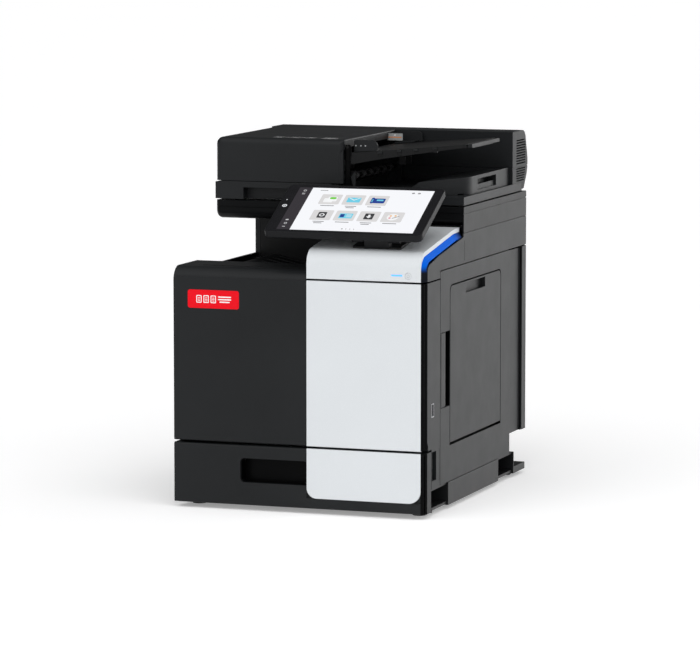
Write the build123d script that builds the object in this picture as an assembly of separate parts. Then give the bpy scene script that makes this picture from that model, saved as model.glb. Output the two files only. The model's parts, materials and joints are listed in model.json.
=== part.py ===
from build123d import *
import math
import os

# Photocopier: desktop A4 multifunction copier with a document feeder and a tilting touch panel.
# Millimetres. +X is the operator's right, +Y runs from the front to the back, +Z is up.
# The origin is on the floor, under the middle of the whole machine.

# ---- driving dimensions ----
WIDTH = 420.0
DEPTH = 534.0
RIGHT = WIDTH / 2
LID_LEFT = -WIDTH / 2
LEFT = -207.0
FRONT = -DEPTH / 2
LID_REAR = DEPTH / 2
BACK = 260.5
FOOT = 7.0
WALL = 2.5
SEAM = 1.5

PANEL_LEFT = 15.2          # white front panels, left and right edges
PANEL_RIGHT = 202.6
CORNER_BACK = -256.6       # where the chamfered corner meets the right side
WRAP_BACK = -237.5         # rear edge of the drawer and door wraps
DRAWER_LOW = 8.3
DRAWER_TOP = 103.2
DOOR_LOW = 106.7
DOOR_HIGH = 366.7
DOOR_CROWN = 381.5
UPPER_LOW = 369.7
SIDE_LOW = 44.2
SIDE_HIGH = 380.0
BAY_FRONT = -163.0
BAY_REAR = 97.7
COLUMN_LEFT = 60.0

SLOPE = math.radians(8.8)  # fall of the white cover towards the operator
SLOPE_Y = -225.3
SLOPE_Z = 419.0
SLOPE_END = -108.0
COVER_REAR = -76.8
EDGE_THICK = 6.8           # visible edge thickness of the white cover
CHAMFER_DROP = 10.8

SCAN_FRONT = -75.8
SCAN_LOW = 441.0
SCAN_SKIRT = 429.6
SCAN_TOP = 470.4
SCAN_GROOVE = 459.8

LID_LOW = 473.0
LID_DECK = 486.0
FEED_RIGHT = 0.3
FEED_SEAM = 500.0
COVER_LOW = 502.3
LID_TOP = 572.0
REAR_FRONT = 183.6
REAR_BULGE = 3.65           # how far the rear corner stands past its own rounding
LID_AXIS_Y = 242.0
LID_AXIS_Z = 483.0
LID_PIN = 3.0
LID_HINGE_X = 140.0
FEED_ROLL = (-40.0, 520.0)   # feeder shafts and hinges as (x, z)
EXIT_ROLL = (14.0, 513.0)
FEED_AXIS = (-206.5, 505.2)
FEED_LUGS = (-40.0, 150.0)
TRAY_AXIS = (12.5, 560.0)

TRAY_TILT = math.radians(4.8)
TRAY_START = 10.0
TRAY_END = 195.0
TRAY_Z = 550.0

SCREEN_TILT = 27.3
SCREEN_WIDE = 259.0
SCREEN_LONG = 140.0
SCREEN_THICK = 13.0
SCREEN_MID = 72.4
SCREEN_LOW_Z = 441.1
SCREEN_PIN_ALONG = 17.0
SCREEN_PIN_DROP = 18.5
BRACKET_MID = 122.0

DOOR_AXIS_Y = -259.5
DOOR_AXIS_Z = 112.0
SIDE_AXIS_X = 202.0
SIDE_AXIS_Y = 166.0
SIDE_FRONT = -192.3
SIDE_BACK = 172.0
BYPASS_FRONT = -143.2
BYPASS_BACK = 120.0
BYPASS_LOW = 105.3
BYPASS_HIGH = 352.3
BYPASS_AXIS_X = 203.5
BYPASS_AXIS_Z = 110.0
BYPASS_SEAM = 2.3           # open gap round the bypass tray

PAPER_MID = -15.0          # middle of the paper path, front to back
PLATE_FRONT = -200.0       # main frame plates that carry every roller
PLATE_REAR = 205.0
PIN_PLAY = 0.05

os.makedirs("parts", exist_ok=True)


# ---- shape helpers ----
def block(x0, x1, y0, y1, z0, z1):
    """Box between two opposite corners."""
    return Pos((x0 + x1) / 2, (y0 + y1) / 2, (z0 + z1) / 2) * Box(x1 - x0, y1 - y0, z1 - z0)


def outline(*corners):
    """Closed face whose corners are (u, v) or (u, v, radius)."""
    count = len(corners)
    arcs = []
    ends = []
    for index, corner in enumerate(corners):
        here = Vector(corner[0], corner[1])
        radius = corner[2] if len(corner) > 2 else 0
        to_last = (Vector(*corners[index - 1][:2]) - here).normalized()
        to_next = (Vector(*corners[(index + 1) % count][:2]) - here).normalized()
        if radius == 0:
            ends.append((here, here))
            continue
        half = math.radians(to_last.get_angle(to_next)) / 2
        cut = radius / math.tan(half)
        middle = here + (to_last + to_next).normalized() * (radius / math.sin(half) - radius)
        ends.append((here + to_last * cut, here + to_next * cut))
        arcs.append(ThreePointArc(ends[-1][0], middle, ends[-1][1]))
    edges = list(arcs)
    for index in range(count):
        start = ends[index][1]
        stop = ends[(index + 1) % count][0]
        if (stop - start).length > 1e-4:
            edges.append(Line(start, stop))
    return make_face(edges)


def along_x(face, x0, x1):
    """Extrude a (Y, Z) outline from x0 to x1."""
    return extrude(Plane.YZ.offset(x0) * face, amount=x1 - x0)


def along_y(face, y0, y1):
    """Extrude an (X, Z) outline from y0 to y1."""
    return extrude(Plane.XZ.offset(-y0) * face, amount=-(y1 - y0))


def along_z(face, z0, z1):
    """Extrude an (X, Y) outline from z0 to z1."""
    return extrude(Plane.XY.offset(z0) * face, amount=z1 - z0)


def rod_x(radius, x0, x1, y, z):
    return Pos((x0 + x1) / 2, y, z) * Rot(0, 90, 0) * Cylinder(radius, x1 - x0)


def rod_y(radius, x, y0, y1, z):
    return Pos(x, (y0 + y1) / 2, z) * Rot(90, 0, 0) * Cylinder(radius, y1 - y0)


def rod_z(radius, x, y, z0, z1):
    return Pos(x, y, (z0 + z1) / 2) * Cylinder(radius, z1 - z0)


def save(name, *solids):
    """Write one sub-part; several solids stay separate bodies in one node."""
    shape = solids[0] if len(solids) == 1 else Compound(children=list(solids))
    export_step(shape, f"parts/{name}.step")


def cover_top(y):
    """Height of the white cover's sloped top at depth y."""
    return SLOPE_Z + (y - SLOPE_Y) * math.tan(SLOPE)


def tray_top(x):
    """Height of the document tray's upper face at x."""
    return TRAY_Z + (x - TRAY_START) * math.tan(TRAY_TILT)


# ---- base and feet ----
GRIP_FRONT = (-236.0, -151.7)   # carrying grips, front and rear, from y to y
GRIP_REAR = (111.4, 194.2)
BASE_SIDE = 176.0
FOOT_SPOTS = [(x, y) for x in (-184.0, 184.0) for y in (-216.0, 226.0)]


def base_frame():
    body = block(LEFT + 3, RIGHT - 3, -234, 256, 9, 13)
    for side in (-1, 1):
        outer = RIGHT if side > 0 else LEFT
        inner = side * BASE_SIDE
        low_x, high_x = sorted((inner, outer))
        body += block(*sorted((inner, inner + side * 4)), -234, 250, 9, 104)
        body += block(low_x, high_x, GRIP_FRONT[1], GRIP_REAR[0], FOOT, SIDE_LOW - 1)
        body -= block(low_x + 4, high_x - 4, GRIP_FRONT[1] + 3, GRIP_REAR[0] - 3, 13, 50)
        body += block(low_x, high_x, GRIP_REAR[1], 258, FOOT, 18)
        body += block(low_x, high_x, GRIP_REAR[1], 197, FOOT, SIDE_LOW - 1)
        body += block(low_x, high_x, GRIP_FRONT[0] + 1, GRIP_FRONT[0] + 3, FOOT, 13)
        rim_x = sorted((inner, outer - side * 3))
        body += block(*rim_x, GRIP_REAR[0], GRIP_REAR[1], 40, SIDE_LOW - 1)
        body += block(*rim_x, GRIP_FRONT[0], GRIP_FRONT[1], 40, SIDE_LOW - 1)
        body += block(*sorted((side * 171, inner)), -230, 200, 54, 59.5)
        body += block(*sorted((side * 186, side * 190)), -236, -205, 41, 116)
        lug = along_x(outline((-234, 109), (-234, 115.2), (-262.7, 115.2, 3.1), (-262.7, 108.8, 3.1)),
                      *sorted((side * 186, side * 190)))
        body += lug
        body -= rod_x(1.5 + PIN_PLAY, *sorted((side * 180, side * 196)), DOOR_AXIS_Y, DOOR_AXIS_Z)
    body += block(LEFT + 3, RIGHT - 3, 250, 256, 9, 18)
    body += block(-BASE_SIDE - 4, BASE_SIDE + 4, 250, 256, 9, 70)
    body -= rod_z(2.5 + PIN_PLAY, SIDE_AXIS_X, SIDE_AXIS_Y, 38, 46)
    for x, y in FOOT_SPOTS:
        body += rod_z(14, x, y, FOOT, 10)
    return body


def rubber_feet():
    feet = []
    for x, y in FOOT_SPOTS:
        foot = Pos(x, y, FOOT / 2) * Cone(11, 13, FOOT)
        feet.append(foot)
    return feet


# ---- steel frame plates and the works between them ----
ROLLER_SPOTS = {"pickup": (140.0, 124.0), "exit": (68.0, 392.0)}
DRUM_XS = [-120.0, -60.0, 0.0, 60.0]
DRUM_Z = 186.0
TONER_Z = 270.0
DRUM_RADIUS = 15.0
BOTTLE_RADIUS = 21.0
BELT_RADIUS = 14.0
BELT_ENDS = (-138.0, 138.0)
BELT_Z = 226.0


def frame_plate(y0, top, openings):
    plate = along_y(outline((-176, 106), (172, 106), (172, 300), (150, 300), (150, top), (70, top),
                            (66, 314), (-176, 340)), y0, y0 + 2)
    for x in DRUM_XS:
        if openings:
            plate -= along_y(outline((x - 22, 166, 8), (x + 22, 166, 8), (x + 22, 206, 8),
                                     (x - 22, 206, 8)), y0 - 1, y0 + 3)
            plate -= rod_y(24, x, y0 - 1, y0 + 3, TONER_Z)
    px, pz = ROLLER_SPOTS["pickup"]
    plate -= rod_y(4 + PIN_PLAY, px, y0 - 1, y0 + 3, pz)
    for x in BELT_ENDS:
        plate -= rod_y(5, x, y0 - 1, y0 + 3, BELT_Z)
    return plate


def pickup_roller():
    x, z = ROLLER_SPOTS["pickup"]
    body = rod_y(4, x, PLATE_FRONT - 3, PLATE_REAR + 5, z)
    for y in (-75, -15, 45):
        body += rod_y(12, x, y - 14, y + 14, z)
    return body


def transfer_belt():
    outer = outline((BELT_ENDS[0] - BELT_RADIUS, BELT_Z - BELT_RADIUS, 13.9),
                    (BELT_ENDS[1] + BELT_RADIUS, BELT_Z - BELT_RADIUS, 13.9),
                    (BELT_ENDS[1] + BELT_RADIUS, BELT_Z + BELT_RADIUS, 13.9),
                    (BELT_ENDS[0] - BELT_RADIUS, BELT_Z + BELT_RADIUS, 13.9))
    inner = outline((BELT_ENDS[0] - 13, BELT_Z - 13, 12.9), (BELT_ENDS[1] + 13, BELT_Z - 13, 12.9),
                    (BELT_ENDS[1] + 13, BELT_Z + 13, 12.9), (BELT_ENDS[0] - 13, BELT_Z + 13, 12.9))
    belt = along_y(outer, -140, 110) - along_y(inner, -141, 111)
    rollers = []
    for x in BELT_ENDS:
        roller = rod_y(13, x, -142, 112, BELT_Z) + rod_y(5 - PIN_PLAY, x, PLATE_FRONT, PLATE_REAR + 2,
                                                         BELT_Z)
        rollers.append(roller)
    return [belt] + rollers


def drum_units():
    units = []
    for x in DRUM_XS:
        shell = along_y(outline((x - 20, 168, 6), (x + 20, 168, 6), (x + 20, 204, 6), (x - 20, 204, 6)),
                        -190, 190)
        shell -= rod_y(DRUM_RADIUS + 0.4, x, -141, 121, DRUM_Z + 11)
        drum = rod_y(DRUM_RADIUS, x, -140, 120, DRUM_Z + 11)
        unit = shell + drum + rod_y(4, x, -192, 192, DRUM_Z + 11)
        unit -= block(x - 30, x + 30, -250, 250, 208, 230)
        units.append(unit)
    return units


def toner_cartridges():
    cartridges = []
    for x in DRUM_XS:
        bottle = rod_y(BOTTLE_RADIUS, x, -190, 170, TONER_Z)
        bottle += along_y(outline((x - 23, TONER_Z - 23, 6), (x + 23, TONER_Z - 23, 6),
                                  (x + 23, TONER_Z + 23, 6), (x - 23, TONER_Z + 23, 6)), -212, -202)
        bottle += rod_y(BOTTLE_RADIUS, x, -203, -189, TONER_Z)
        bottle += rod_y(8, x, 169, 180, TONER_Z)
        cartridges.append(bottle)
    return cartridges


def laser_unit():
    body = along_y(outline((-150, 118, 5), (110, 118, 5), (110, 158, 5), (-150, 158, 5)), -150, 150)
    for x in DRUM_XS:
        body -= block(x - 3, x + 3, -110, 110, 156, 160)
    return body


def fuser_unit():
    body = along_y(outline((112, 300, 6), (156, 300, 6), (156, 352, 6), (112, 352, 6)), -150, 120)
    body -= block(150, 158, -125, 95, 318, 332)
    return body


def main_board():
    board = block(-150, 140, 222, 223.6, 120, 330)
    for x, z, wide, high in ((-90, 280, 40, 40), (-20, 280, 30, 30), (40, 270, 60, 20),
                             (-60, 190, 24, 50),
                             (60, 180, 70, 40)):
        board += block(x - wide / 2, x + wide / 2, 223.6, 230, z - high / 2, z + high / 2)
    for x in (-140, 130):
        for z in (130, 320):
            board += rod_y(3.5, x, PLATE_REAR + 2, 222, z)
    return board


# ---- outer covers ----
def left_cover():
    skin = along_x(outline((-236, SIDE_LOW), (238, SIDE_LOW), (238, 440), (BAY_REAR, 440),
                           (BAY_REAR, 369.5), (-236, 369.5)), LEFT, LEFT + WALL)
    skin += block(LEFT, -198.5, BAY_REAR, BAY_REAR + WALL, 362, 440)
    skin += block(LEFT, LEFT + 9, -236, -233.5, 120, 360)
    skin += block(LEFT, LEFT + 4.5, BAY_FRONT + 2, BAY_REAR, 366.5, 369.5)
    for row in range(9):
        low = 300 + row * 9
        skin -= block(LEFT - 1, LEFT + 5, 125, 215, low, low + 4)
    for row in range(8):
        low = 120 + row * 9
        skin -= block(LEFT - 1, LEFT + 5, 125, 215, low, low + 4)
    return skin


FAN_X = -140.0
FAN_Z = 385.0
FAN_RADIUS = 38.0
INLET_X = 130.0
INLET_Z = 96.0


def rear_cover():
    body = block(LEFT, RIGHT, BACK - WALL, BACK, 20, 440)
    body -= block(RIGHT - 30, RIGHT + 1, BACK - WALL - 1, BACK + 1, 10, 74.5)
    body -= block(RIGHT - WALL, RIGHT + 1, BACK - WALL - 1, BACK + 1, SIDE_HIGH, 441)
    body += block(LEFT, LEFT + WALL, 239.5, BACK, 20, 440)
    body += block(RIGHT - WALL, RIGHT, 239, BACK, 74.5, SIDE_HIGH - 0.4)
    body += block(187, 205.5, 184.5, 187, 74.5, 378)
    body += block(203, 205.5, 184.5, BACK - 1, 74.5, 378)
    body += block(203, 206.8, 235, 237, 74.5, 378)
    body += block(203, RIGHT - 1, 235, BACK - 1, 74.5, 77)
    for row in range(11):
        low = 90 + row * 10
        body -= block(-180, -60, BACK - 4, BACK + 1, low, low + 4.5)
    for row in range(6):
        low = 300 + row * 10
        body -= block(60, 170, BACK - 4, BACK + 1, low, low + 4.5)
    for ring in range(5):
        outer = FAN_RADIUS - ring * 7
        ring_cut = rod_y(outer, FAN_X, BACK - 4, BACK + 1, FAN_Z)
        ring_cut -= rod_y(outer - 4.6, FAN_X, BACK - 5, BACK + 2, FAN_Z)
        body -= ring_cut
    for turn in (0, 60, 120):
        spoke = Pos(FAN_X, BACK - WALL / 2, FAN_Z) * Rot(0, turn, 0) * Box(2 * FAN_RADIUS + 4, WALL, 2.4)
        body += spoke
    body += rod_y(9, FAN_X, BACK - 4, BACK, FAN_Z)
    body += rod_y(2.5, FAN_X, BACK - 20, BACK - 3, FAN_Z)
    body -= block(INLET_X - 15.2, INLET_X + 15.2, BACK - 4, BACK + 1, INLET_Z - 12.2, INLET_Z + 12.2)
    body -= block(70, 86, BACK - 4, BACK + 1, 200, 213)
    body -= block(94, 107, BACK - 4, BACK + 1, 200, 212)
    body -= block(115, 128, BACK - 4, BACK + 1, 200, 206)
    return body


def mains_inlet():
    x, z = INLET_X, INLET_Z
    body = block(x - 15, x + 15, BACK - 20, BACK - 0.5, z - 12, z + 12)
    body += block(x - 19, x + 19, BACK - 5, BACK - WALL - 0.2, z - 15, z + 15)
    body -= along_y(outline((x - 12, z - 9), (x + 12, z - 9), (x + 12, z + 4), (x + 7, z + 9),
                            (x - 7, z + 9), (x - 12, z + 4)), BACK - 16, BACK + 1)
    for dx, dz in ((-7, -3), (0, 3), (7, -3)):
        body += block(x + dx - 1, x + dx + 1, BACK - 17, BACK - 4, z + dz - 2, z + dz + 2)
    return body


def exhaust_fan():
    hub = rod_y(12, FAN_X, BACK - 19, BACK - 7, FAN_Z)
    for index in range(7):
        turn = index * 360 / 7
        blade = Pos(FAN_X, BACK - 13, FAN_Z) * Rot(0, turn, 0) * Pos(0, 0, 23) * Rot(0, 0, 38) * Box(13,
                                                                                                     2,
                                                                                                     25)
        hub += blade
    hub -= rod_y(2.5 + PIN_PLAY, FAN_X, BACK - 21, BACK - 1, FAN_Z)
    return hub


SWITCH_Y = (-233.2, -212.4)
SWITCH_Z = (56.2, 101.9)
SWITCH_AXIS = (200.0, 86.0)
SWITCH_PIN = 1.5


def right_front_cover():
    skin = along_x(outline((CORNER_BACK + 4, DOOR_LOW), (CORNER_BACK + 4, DOOR_LOW + 7),
                           (CORNER_BACK, DOOR_LOW + 14), (CORNER_BACK, DOOR_HIGH + 0.6),
                           (SIDE_FRONT - SEAM, DOOR_HIGH + 0.6), (SIDE_FRONT - SEAM, SIDE_LOW - 0.4),
                           (-235.5, SIDE_LOW - 0.4), (-235.5, DOOR_LOW)), RIGHT - WALL, RIGHT)
    skin += block(193, RIGHT, -235.5, -233.2, SIDE_LOW, DOOR_LOW + 3)
    skin += block(194, RIGHT, CORNER_BACK, CORNER_BACK + WALL, DOOR_LOW + 12, DOOR_HIGH - 4)
    y0, y1 = SWITCH_Y
    z0, z1 = SWITCH_Z
    skin += block(193, RIGHT - 1, y0 - 2, y1 + 2, z0 - 2, z1 + 2)
    skin -= block(195, RIGHT + 1, y0, y1, z0, z1)
    skin -= rod_y(SWITCH_PIN + PIN_PLAY, SWITCH_AXIS[0], y0 - 1.5, y1 + 1.5, SWITCH_AXIS[1])
    skin += block(200, 203, y0, y1, 68.8, 70.8)
    for y in (-228.0, -223.0, -218.0):
        skin += block(200, 202, y - 0.8, y + 0.8, z0, 70)
    skin -= block(RIGHT - WALL - 1, RIGHT + 1, -235.2, -222.8, 156, 178)
    skin -= block(RIGHT - 1, RIGHT + 1, -198.2, -197, 52.7, 103.4)
    return skin


def right_upper_cover():
    profile = outline((CORNER_BACK, UPPER_LOW), (CORNER_BACK, 393.5, 12),
                      (-198, cover_top(-198) - EDGE_THICK - CHAMFER_DROP),
                      (SCAN_FRONT - 1, cover_top(-130) - EDGE_THICK - CHAMFER_DROP + 7),
                      (SCAN_FRONT - 1, SCAN_SKIRT - 0.6), (BACK, SCAN_SKIRT - 0.6),
                      (BACK, SIDE_HIGH + 1.6), (SIDE_FRONT - SEAM, SIDE_HIGH + 1.6),
                      (SIDE_FRONT - SEAM, UPPER_LOW))
    skin = along_x(profile, RIGHT - WALL, RIGHT)
    skin += block(186, RIGHT - 1, 150, 186, SIDE_HIGH + 1.6, SIDE_HIGH + 5)
    skin -= rod_z(2.5 + PIN_PLAY, SIDE_AXIS_X, SIDE_AXIS_Y, 378, 390)
    skin -= block(RIGHT - 1, RIGHT + 1, -72.2, -71.2, 386, 418)
    return skin


# White cover, its chamfered accent strip and what sits in its face.
LIGHT_X = (154.4, 172.3)
LIGHT_Z = (378.3, 380.6)
KEY_X = 181.8
KEY_Z = 379.0
KEY_RADIUS = 5.0


def cover_profile(drop, front):
    """Closed (Y, Z) outline of the sloped cover, lowered by drop and set back to front."""
    start = cover_top(front) - drop
    return outline((front, UPPER_LOW), (front, start, 24), (SLOPE_END, cover_top(SLOPE_END) - drop, 60),
                   (COVER_REAR, cover_top(SLOPE_END) - drop + 1.2), (COVER_REAR, UPPER_LOW))


def front_upper_cover():
    body = along_x(cover_profile(0, FRONT), PANEL_LEFT, PANEL_RIGHT)
    body -= along_x(cover_profile(EDGE_THICK, FRONT + 3), PANEL_LEFT + 3, PANEL_RIGHT + 1)
    body -= block(PANEL_LEFT + 3, PANEL_RIGHT + 1, FRONT + 3, 0, UPPER_LOW - 1, 385)
    body -= block(PANEL_LEFT - 1, PANEL_LEFT + 4, -229, COVER_REAR + 1, UPPER_LOW - 1, 383)
    body -= block(*LIGHT_X, FRONT - 1, FRONT + 4, *LIGHT_Z)
    body -= rod_y(KEY_RADIUS + 0.25, KEY_X, FRONT - 1, FRONT + 4, KEY_Z)
    return body


def accent_strip():
    outer = loft([Plane.YZ.offset(PANEL_RIGHT) * cover_profile(EDGE_THICK, FRONT),
                  Plane.YZ.offset(RIGHT) * cover_profile(EDGE_THICK + CHAMFER_DROP, CORNER_BACK)],
                 ruled=True)
    inner = loft([Plane.YZ.offset(PANEL_RIGHT - 1) * cover_profile(EDGE_THICK + 1.6, FRONT + 2),
                  Plane.YZ.offset(RIGHT + 1) * cover_profile(EDGE_THICK + CHAMFER_DROP + 4,
                                                             CORNER_BACK + 3)], ruled=True)
    strip = outer - inner
    strip -= block(RIGHT - WALL, RIGHT + 1, CORNER_BACK, 0, UPPER_LOW - 1, 445)
    strip -= block(PANEL_RIGHT - 1, RIGHT + 1, COVER_REAR - 2.2, 0, UPPER_LOW - 1, 445)
    return strip


def status_light():
    return block(LIGHT_X[0] + 0.1, LIGHT_X[1] - 0.1, FRONT + 0.2, FRONT + 4, LIGHT_Z[0] + 0.1,
                 LIGHT_Z[1] - 0.1)


def power_key():
    key = rod_y(KEY_RADIUS, KEY_X, FRONT + 0.1, FRONT + 6, KEY_Z)
    return fillet(key.edges().sort_by(Axis.Y)[0], 0.5)


def top_front_cover():
    body = along_x(outline((-228.5, 345), (-228.5, DOOR_CROWN), (BAY_FRONT, DOOR_CROWN, 3),
                           (BAY_FRONT, 345)), LEFT, PANEL_LEFT - 0.5)
    body -= block(LEFT + WALL, PANEL_LEFT, -226, BAY_FRONT - WALL, 344, DOOR_CROWN - WALL)
    body -= block(LEFT - 1, LEFT + WALL + 0.6, -240, -150, 340, 370.2)
    return body


def output_tray():
    sheet = along_y(outline((LEFT + 5, 357.5), (LEFT + 5, 360.5), (-190, 363, 12), (-173, 368.5, 14),
                            (COLUMN_LEFT - 1, 318), (COLUMN_LEFT - 1, 315), (-173, 365.4, 14),
                            (-190, 359.9, 12)), BAY_FRONT + 0.5, BAY_REAR - 0.5)
    for y in range(-140, 90, 28):
        sheet += along_y(outline((-160, 364), (-160, 366.6), (COLUMN_LEFT - 20, 324.3),
                                 (COLUMN_LEFT - 20, 321)), y, y + 2.4)
    return sheet


def bay_wall():
    body = block(-198, COLUMN_LEFT + WALL, BAY_REAR, BAY_REAR + WALL, 316, 440.5)
    column = along_x(outline((BAY_FRONT, 316), (BAY_FRONT, cover_top(BAY_FRONT) - EDGE_THICK - 1),
                             (SCAN_FRONT, cover_top(SLOPE_END) - EDGE_THICK - 4), (SCAN_FRONT, 440.5),
                             (BAY_REAR, 440.5), (BAY_REAR, 316)), COLUMN_LEFT, COLUMN_LEFT + WALL)
    column -= block(COLUMN_LEFT - 1, COLUMN_LEFT + 4, -122, 92, 380, 404)
    body += column
    body += block(COLUMN_LEFT, 206.5, SCAN_FRONT, SCAN_FRONT + WALL, cover_top(SLOPE_END) + 1.4, 440.5)
    x, z = ROLLER_SPOTS["exit"]
    for y in (-128, 94.5):
        cheek = block(COLUMN_LEFT, 82, y, y + 3, 378, 406)
        cheek -= rod_y(3 + PIN_PLAY, x, y - 1, y + 4, z)
        body += cheek
    return body


def exit_roller():
    x, z = ROLLER_SPOTS["exit"]
    body = rod_y(3, x, -130, 99.5, z)
    for y in (-95, -42, 12, 65):
        body += rod_y(9, x, y - 8, y + 8, z)
    return body


def usb_port():
    port = block(198, RIGHT - 0.2, -234.8, -223.2, 156.4, 177.6)
    port -= block(200, RIGHT + 1, -233.6, -224.4, 157.6, 176.4)
    port += block(199, RIGHT - 1.5, -231.6, -229.6, 160, 174)
    return port


def main_switch():
    rocker = along_y(outline((197, 73), (203.5, 72.6, 1), (205, 86, 20), (203.5, 99.4, 1), (197, 99)),
                     -229.5, -216.1)
    x, z = SWITCH_AXIS
    rocker = Pos(x, 0, z) * Rot(0, -6, 0) * Pos(-x, 0, -z) * rocker
    return rocker + rod_y(SWITCH_PIN, x, SWITCH_Y[0] - 1.2, SWITCH_Y[1] + 1.2, z)


# ---- front door ----
def front_door():
    crown = outline((FRONT, DOOR_LOW, 4), (FRONT, DOOR_CROWN, 22), (-230, DOOR_CROWN),
                    (-230, DOOR_CROWN - WALL), (FRONT + WALL, DOOR_CROWN - WALL, 19.5),
                    (FRONT + WALL, DOOR_LOW + 2), (-247, DOOR_LOW + 2), (-247, DOOR_LOW))
    body = along_x(crown, LEFT, PANEL_LEFT - 0.6)
    full = outline((FRONT, DOOR_LOW, 4), (FRONT, DOOR_CROWN, 22), (-230, DOOR_CROWN), (-230, 371.2),
                   (-237.5, 371.2), (-237.5, DOOR_LOW))
    body += along_x(full, LEFT, LEFT + WALL)
    body += block(-206, PANEL_LEFT, FRONT, FRONT + WALL, 150, DOOR_HIGH)
    body += block(14, PANEL_RIGHT + 4, FRONT + 3, FRONT + 5.5, DOOR_LOW + 2, DOOR_HIGH)
    body += block(14, 185, FRONT + 3, -247, DOOR_HIGH - 2.5, DOOR_HIGH)
    body += block(14, PANEL_RIGHT - 4, FRONT + 3, -257.5, DOOR_LOW, DOOR_LOW + 2)
    body += block(14, 185, FRONT + 3, -247, DOOR_LOW, DOOR_LOW + 2)
    trim = along_z(outline((PANEL_RIGHT, FRONT), (RIGHT, CORNER_BACK - 1), (RIGHT - 3, CORNER_BACK - 1),
                           (PANEL_RIGHT, FRONT + 6)), DOOR_LOW + 1.3, DOOR_HIGH)
    body += trim
    slot_left, slot_right = -170.0, -62.0
    body -= block(slot_left, slot_right, -236.5, -229, DOOR_CROWN - 4, DOOR_CROWN + 1)
    for side in (-1, 1):
        body += block(*sorted((side * 180.5, side * 185.4)), FRONT + 3, -255, DOOR_LOW + 0.5, 124)
        body -= block(*sorted((side * 185.6, side * 190.4)), -264.2, -240, DOOR_LOW - 1, 117.5)
        body += rod_x(1.5, *sorted((side * 184, side * 192)), DOOR_AXIS_Y, DOOR_AXIS_Z)
        body += block(*sorted((side * 190.5, side * 193.5)), FRONT + 3, -257, DOOR_LOW + 0.5, 120)
    body -= badge_outline(0.1, FRONT - 1, FRONT + 1.6)
    return body


def front_door_panel():
    panel = along_x(outline((FRONT, DOOR_LOW, 1.5), (FRONT, DOOR_HIGH, 1.5), (FRONT + 3, DOOR_HIGH),
                            (FRONT + 3, DOOR_LOW)), PANEL_LEFT, PANEL_RIGHT)
    return panel


def badge_outline(grow, y0, y1):
    x0, x1 = -183.0 - grow, -97.0 + grow
    z0, z1 = 317.0 - grow, 346.0 + grow
    return along_y(outline((x0, z0, 4), (x1, z0, 4), (x1, z1, 4), (x0, z1, 4)), y0, y1)


def badge_plate():
    return badge_outline(0, FRONT + 0.1, FRONT + 1.6)


# ---- paper drawer ----
GRIP_X = (-95.6, PANEL_LEFT)
GRIP_Z = (44.5, 82.8)


def drawer_front():
    body = along_x(outline((FRONT, DRAWER_LOW, 3), (FRONT, DRAWER_TOP, 3), (WRAP_BACK, DRAWER_TOP),
                           (WRAP_BACK, DRAWER_LOW)), LEFT, PANEL_RIGHT)
    body += along_z(outline((PANEL_RIGHT, FRONT), (RIGHT, CORNER_BACK), (RIGHT, WRAP_BACK),
                            (PANEL_RIGHT, WRAP_BACK)), DRAWER_LOW, DRAWER_TOP)
    body -= block(LEFT + WALL, RIGHT - WALL, FRONT + 5.5, WRAP_BACK - WALL, DRAWER_LOW + WALL,
                  DRAWER_TOP - WALL)
    body -= block(PANEL_LEFT, PANEL_RIGHT, FRONT - 1, FRONT + 3, 24.9, DRAWER_TOP + 1)
    grip = along_y(outline((GRIP_X[0] - 2, GRIP_Z[0] - 2, 8), (GRIP_X[1], GRIP_Z[0] - 2),
                           (GRIP_X[1], GRIP_Z[1] + 2), (GRIP_X[0] - 2, GRIP_Z[1] + 2, 8)), FRONT + 2,
                   WRAP_BACK - 3)
    hollow = along_y(outline((GRIP_X[0], GRIP_Z[0], 7), (GRIP_X[1] - 2, GRIP_Z[0]),
                             (GRIP_X[1] - 2, GRIP_Z[1]), (GRIP_X[0], GRIP_Z[1], 7)), FRONT - 1,
                     WRAP_BACK - 5)
    body += grip
    body -= hollow
    body -= block(GRIP_X[1] - 3, GRIP_X[1], FRONT - 1, FRONT + 3, *GRIP_Z)
    return body


def drawer_panel():
    skin = along_y(outline((PANEL_LEFT, 24.9, 16), (PANEL_RIGHT, 24.9, 20), (PANEL_RIGHT, DRAWER_TOP, 2),
                           (PANEL_LEFT, DRAWER_TOP)), FRONT, FRONT + 3)
    return skin


PAN_SIDE = 170.0
PAN_BACK = 205.0
PAN_LOW = 18.0
PAN_HIGH = 98.0
LIFT_X = -145.0
LIFT_Z = 26.0
LIFT_EDGES = (PAPER_MID - 68, PAPER_MID + 68)


def drawer_pan():
    pan = block(-PAN_SIDE, PAN_SIDE, WRAP_BACK, PAN_BACK, PAN_LOW, PAN_HIGH)
    pan -= block(-PAN_SIDE + WALL, PAN_SIDE - WALL, WRAP_BACK + WALL, PAN_BACK - WALL, PAN_LOW + 2,
                 PAN_HIGH + 1)
    pan -= block(PAN_SIDE - 4, PAN_SIDE + 1, -140, 110, 86, PAN_HIGH + 1)
    for side in (-1, 1):
        pan += block(*sorted((side * PAN_SIDE, side * 174.5)), WRAP_BACK, PAN_BACK, 60, 64)
    for y in (LIFT_EDGES[0] - 6, LIFT_EDGES[1] + 3):
        lug = along_y(outline((LIFT_X - 5, PAN_LOW + 1), (LIFT_X + 5, PAN_LOW + 1),
                              (LIFT_X + 5, LIFT_Z + 5, 4.5), (LIFT_X - 5, LIFT_Z + 5, 4.5)), y, y + 3)
        lug -= rod_y(1.5 + PIN_PLAY, LIFT_X, y - 1, y + 4, LIFT_Z)
        pan += lug
    return pan


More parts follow.
